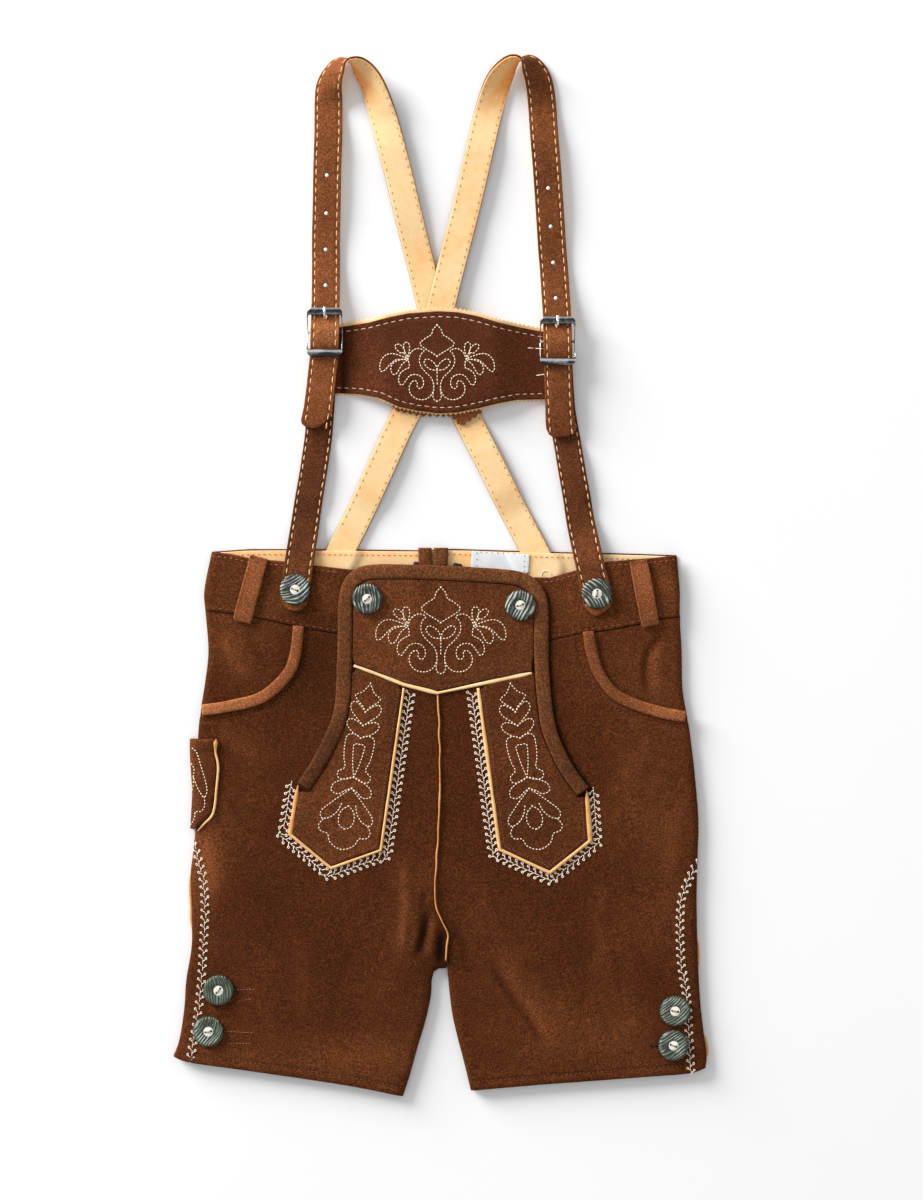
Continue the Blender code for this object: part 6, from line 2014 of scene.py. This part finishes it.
# degrees, length, width, bow and bare stem of each petal of the sprig
sprigNode = (22.5, -2.2)
petals = [(84, 13, 4.6, 0, 0.2), (50, 14.4, 4.8, 0.6, 0.42), (-22, 23, 8.6, 5.6, 0),
          (-44, 16.4, 7, 2.4, 0)]
stripHalf = {
    "bud": [(0, 0), (2.4, 4), (4.4, 6.6), (8.6, 9.4), (5.6, 13.4), (2.6, 15.8), (0, 19.6)],
    "heart": [(0, 19.6), (3.8, 15.8), (8, 13.6), (10.4, 16), (9.4, 20.2), (5, 24.6), (0, 29)],
    "leaf": [(0, 29), (4.8, 26.4), (9.4, 25.8), (11, 29.2), (8, 33.2), (4, 35.8), (0, 37.6)],
    "band": [(0, 37.6), (4.4, 35.6), (9.2, 37.4), (9.8, 45), (8.8, 53), (7.2, 59), (11.2, 62.6),
             (10.2, 66.6), (5.4, 67), (0, 64.6)],
    "bandInside": [(0, 42), (3.6, 42.6), (3.4, 48), (2.2, 56), (0, 64.6)],
    "sprout": [(0, 64.6), (6, 66.8), (12.6, 71), (13.4, 76), (8.6, 77.6), (4, 74.4), (0, 72.4)],
    "wing": [(0, 72.4), (5, 77), (12, 84), (17.6, 90.6), (16.8, 95.4), (11.6, 94.4), (7, 89.6),
             (5, 84)],
    "cup": [(15.6, 96.4), (17.8, 100.6), (15.6, 104.4), (10.8, 105.4), (8.6, 110.2), (4.2, 113.4),
            (0, 114.4)],
    "oval": [(0, 84.6), (4, 88), (5.4, 93.6), (3.6, 98.6), (0, 100.4)],
}


def bothSides(halves):
    lines = [smoothLine(half, 1.0) if isinstance(half, list) else half for half in halves]
    return lines + [line * np.array([-1, 1]) for line in lines]


def petal(node, degrees, length, width, bow, stem):
    # A round-ended drop from the node outwards, bent by its bow.
    share = np.array([0, stem, 0.35, 0.6, 0.82, 0.95, 1.0, 0.95, 0.82, 0.6, 0.35, stem, 0])
    share = np.maximum(share, stem * (np.arange(13) % 12 > 0))
    half = np.array([0, 0.05, 0.28, 0.46, 0.48, 0.3, 0, -0.3, -0.48, -0.46, -0.28, -0.05, 0]) * width
    turn = math.radians(degrees)
    along, side = share * length, half + 4 * bow * share * (1 - share)
    line = np.column_stack([node[0] + along * math.cos(turn) - side * math.sin(turn),
                            node[1] + along * math.sin(turn) + side * math.cos(turn)])
    # A bare stem is sewn once, and nothing is sewn twice over the node.
    line = line[:-1] if stem > 0 else line
    line = smoothLine(line[np.append(True, np.linalg.norm(np.diff(line, axis=0), axis=1) > 0.2)], 1.0)
    return line[(np.linalg.norm(line - np.array(node), axis=1) > 1.5) | (stem > 0)]


def bloom(origin, scale):
    # The ornament of the flap and the chest bar.
    halves = list(ornament.values()) + [petal(sprigNode, *item) for item in petals]
    lines = bothSides(halves) + [straightLine([(0, -10), (0, -21)], 1.0)]
    return [line * scale + np.array(origin) for line in lines]


def stripVine(top, bottom, flip):
    # The strip's ornament along its leaning axis.
    top, bottom = np.array(top), np.array(bottom)
    along = (bottom - top) / np.linalg.norm(bottom - top)
    across = np.array([-along[1], along[0]])
    lines = [top + across * line[:, :1] + along * line[:, 1:2] for line in bothSides(stripHalf.values())]
    return [line * np.array([flip, 1]) for line in lines]


def alongWaist(table, low, high, away):
    # A line that keeps its distance from one of the waist's edges.
    x = np.arange(low, high, 2.0)
    return np.column_stack([x, onTable(garment[table], x) + away])


def strapRow(key, side, first, last, height):
    # A row of thread on a strap's suede, or of needle holes on its lining.
    middle, across, up, full = strapPaths[key][0](np.arange(first, last, 1.0))
    on = middle + across * side + up * (height * full)[:, None]
    return np.column_stack([on, up * np.sign(height)])


# where the sewing lies: the ornaments, the buttonhole bars of the vents and a few stray threads
sewing = {
    "bloom": (0.3, -31.4), "vine": ((-47.5, -72.8), (-67.7, -185.4)),
    "barBloom": (-2.2, 149.4), "barBloomSize": 0.88, "feathersAway": 4.8, "stripRowAway": 3.6,
    "pocket": [
        [(-168.4, -117), (-165.4, -120), (-162.6, -129), (-159.6, -139), (-158.6, -146), (-160.4, -150),
         (-163, -147), (-166, -141.5), (-168, -136)],
        [(-168, -136), (-167.4, -131), (-169.2, -127.6)],
        [(-160.4, -150), (-160.2, -156), (-162.8, -159.6), (-166.4, -160), (-167.2, -164.4),
         (-169.8, -168.6)],
        [(-167.8, -137), (-168.2, -143), (-170, -148), (-170.4, -151.6)],
    ],
    "sideFeathers": [
        [(-168.3, -176.5), (-167.3, -181.2), (-161.5, -205), (-160.1, -226.8), (-161.5, -256),
         (-162.9, -279.8), (-165.6, -302.3), (-169.7, -325.4)],
        [(175.1, -192.8), (168.3, -207.7), (163.9, -220.7), (162.9, -241.7), (163.9, -263.5),
         (167.3, -285.3), (169, -311.1), (170.3, -334.2)],
    ],
    "waistRows": ((-154, -70), (72, 159)),
    "eyelets": [[(-139.8, -281.2), (-127, -280.6)], [(-136.8, -288.6), (-129.6, -287.4)],
                [(-146.4, -309.4), (-128.4, -310.2)], [(-144.4, -317.6), (-129.6, -317.6)]],
    "stray": [[(60.8, 155.6), (67.6, 155.2)], [(67.6, 137.3), (70.2, 137.6)]],
    "label": [[(24.8, 3), (24.8, 16)], [(27.6, 16.7), (54.6, 15.4)], [(57.2, 14), (57, 3.4)]],
    "slits": [[(-141.4, -281.9), (-138.6, -282)], [(142.8, -318.6), (146.2, -318.8)]],
    "knots": [[(10.6, 7.6), (12.8, 7.2)], [(-16, 8.4), (-15, 8)]],
    "threadEnd": [(68.6, 1), (69.4, 3), (71.7, 3.9), (74, 3.1), (75.2, 1.2)],
}
front = surfaceOf("leg_front_right", "leg_front_left", "flap_yoke_piece", "flap_strip_piece_right",
                  "flap_strip_piece_left", "waistband_piece_right", "waistband_piece_left",
                  "pocket_bearer_piece_right", "pocket_bearer_piece_left")
barSurface = surfaceOf("chest_bar_piece")
facingSurface = surfaceOf("facing_piece")
vines = [line for flip in (1, -1) for line in stripVine(*sewing["vine"], flip)]
sewOn(front, "flap_embroidery", bloom(sewing["bloom"], 1.0) + vines, "embroidery", 3)
sewOn(barSurface, "chest_embroidery", bloom(sewing["barBloom"], sewing["barBloomSize"]), "barEmbroidery", 4)
sewOn(surfaceOf("knife_pocket_piece"), "pocket_embroidery",
      [smoothLine(line, 1.0) for line in sewing["pocket"]], "embroidery", 5)
feathers = [straightLine(besideStrip(side, -sewing["feathersAway"]), 1.0) for side in outward]
sewOn(front, "feather_embroidery", feathers, "feather", 6, -0.1)
sewOn(front, "side_embroidery", [smoothLine(line, 2.0) for line in sewing["sideFeathers"]], "sideFeather", 7,
      -0.1)

for side in outward:
    _, length, apex = strapPaths[side]
    row = straps["stitchRow"]
    high, highBelow = (top - straps["groove"] + 0.05 for top in (straps["outer"], buttonStraps["thickness"]))
    sew(f"strap_stitches_{side}", [strapRow(side, sign * row, 3.0 + 3 * (sign > 0), apex + 30, high)
                                   for sign in (-1, 1)], "strap", 11)
    sew(f"strap_needle_row_{side}", [strapRow(side, sign * row, apex - 10, length - 30, -straps["outer"])
                                     for sign in (-1, 1)], "needle", 12)
    end = strapPaths["button_" + side][1] - 6
    sew(f"button_strap_stitches_{side}", [strapRow("button_" + side, sign * (row + 0.3), 9.0, end, highBelow)
                                          for sign in (-1, 1)], "strapWide", 13)

loop = straightLine(closed(np.array(chest["bottom"] + chest["top"][::-1])), 3.0)[:-1]
barRow = offsetLoop(loop, chest["stitchInset"])
within = np.abs(barRow[:, 0]) < 76
sewOn(barSurface, "chest_bar_stitches",
      [barRow[(barRow[:, 1] > 145) & within], barRow[(barRow[:, 1] < 145) & within]], "bar", 14)
sewOn(front, "seam_rows", seamRows["right"] + seamRows["left"], "seam", 26, -0.05)
sewOn(front, "faint_rows", [besideChevron()], "faint", 15, -0.05)
sewOn(front, "strip_rows", [besideStrip(side, sewing["stripRowAway"]) for side in outward], "stripRow", 21)
sewOn(front, "waist_top_row", [alongWaist("waistTop", *span, -3.0) for span in sewing["waistRows"]],
      "waistTop", 16, -0.05)
sewOn(front, "waist_seam_row", [alongWaist("waistSeam", *span, 2.2) for span in sewing["waistRows"]],
      "waistSeam", 17, -0.05)
sewOn(facingSurface, "facing_row", [alongWaist("backTop", -146, 152, -3.8)], "facingRow", 18)
sewOn(front, "buttonholes", sewing["eyelets"], "eyelet", 19)
sewOn(barSurface, "stray_stitches", sewing["stray"], "loose", 20)
sewOn(surfaceOf("label_piece"), "label_row", sewing["label"], "labelRow", 22)
# Painted shade in the buttonhole slits, as dark marks.
sewOn(front, "buttonhole_slits", sewing["slits"], "slit", 23)
sewOn(facingSurface, "back_knots", sewing["knots"], "knot", 24, 1.2)
sewOn(surfaceOf("facing_piece", "waistband_piece_left"), "thread_end",
      [smoothLine(sewing["threadEnd"], 0.5)], "threadEnd", 25, 0.3)
for unit in units.values():
    bpy.data.objects.remove(unit)
print("stitches made")




# Studio.

studio = {
    "floor": 1.6, "floorLevel": -0.25,
    "camera": (14.28, -15.98, 1933.0), "lens": 85.0,
    "key": {"place": (-4.3, 3.6, 1.75), "size": 3.6, "power": 690.0},
    "world": 0.57,
}


def makeFloor():
    size, low = studio["floor"], studio["floorLevel"] * mm
    mesh = bpy.data.meshes.new("floor")
    corners = [(-size, -size), (size, -size), (size, size), (-size, size)]
    mesh.from_pydata([(x, y, low) for x, y in corners], [], [(0, 1, 2, 3)])
    mesh.materials.append(finishes["floor"])
    floor = bpy.data.objects.new("floor", mesh)
    scene.collection.objects.link(floor)
    return floor


def makeLight(look):
    data = bpy.data.lights.new("key", "AREA")
    data.shape = "DISK"
    data.size = look["size"]
    data.energy = look["power"]
    light = bpy.data.objects.new("key", data)
    light.location = look["place"]
    light.rotation_euler = (-Vector(look["place"])).to_track_quat("-Z", "Y").to_euler()
    scene.collection.objects.link(light)


makeFloor()
makeLight(studio["key"])
world = bpy.data.worlds.new("studio")
world.use_nodes = True
background = world.node_tree.nodes["Background"]
background.inputs["Color"].default_value = (1.0, 1.0, 1.0, 1.0)
background.inputs["Strength"].default_value = studio["world"]
scene.world = world
lens = bpy.data.cameras.new("camera")
lens.lens = studio["lens"]
camera = bpy.data.objects.new("camera", lens)
camera.location = Vector(studio["camera"]) * mm
scene.collection.objects.link(camera)
scene.camera = camera
scene.view_settings.view_transform = "Standard"
print("studio made")
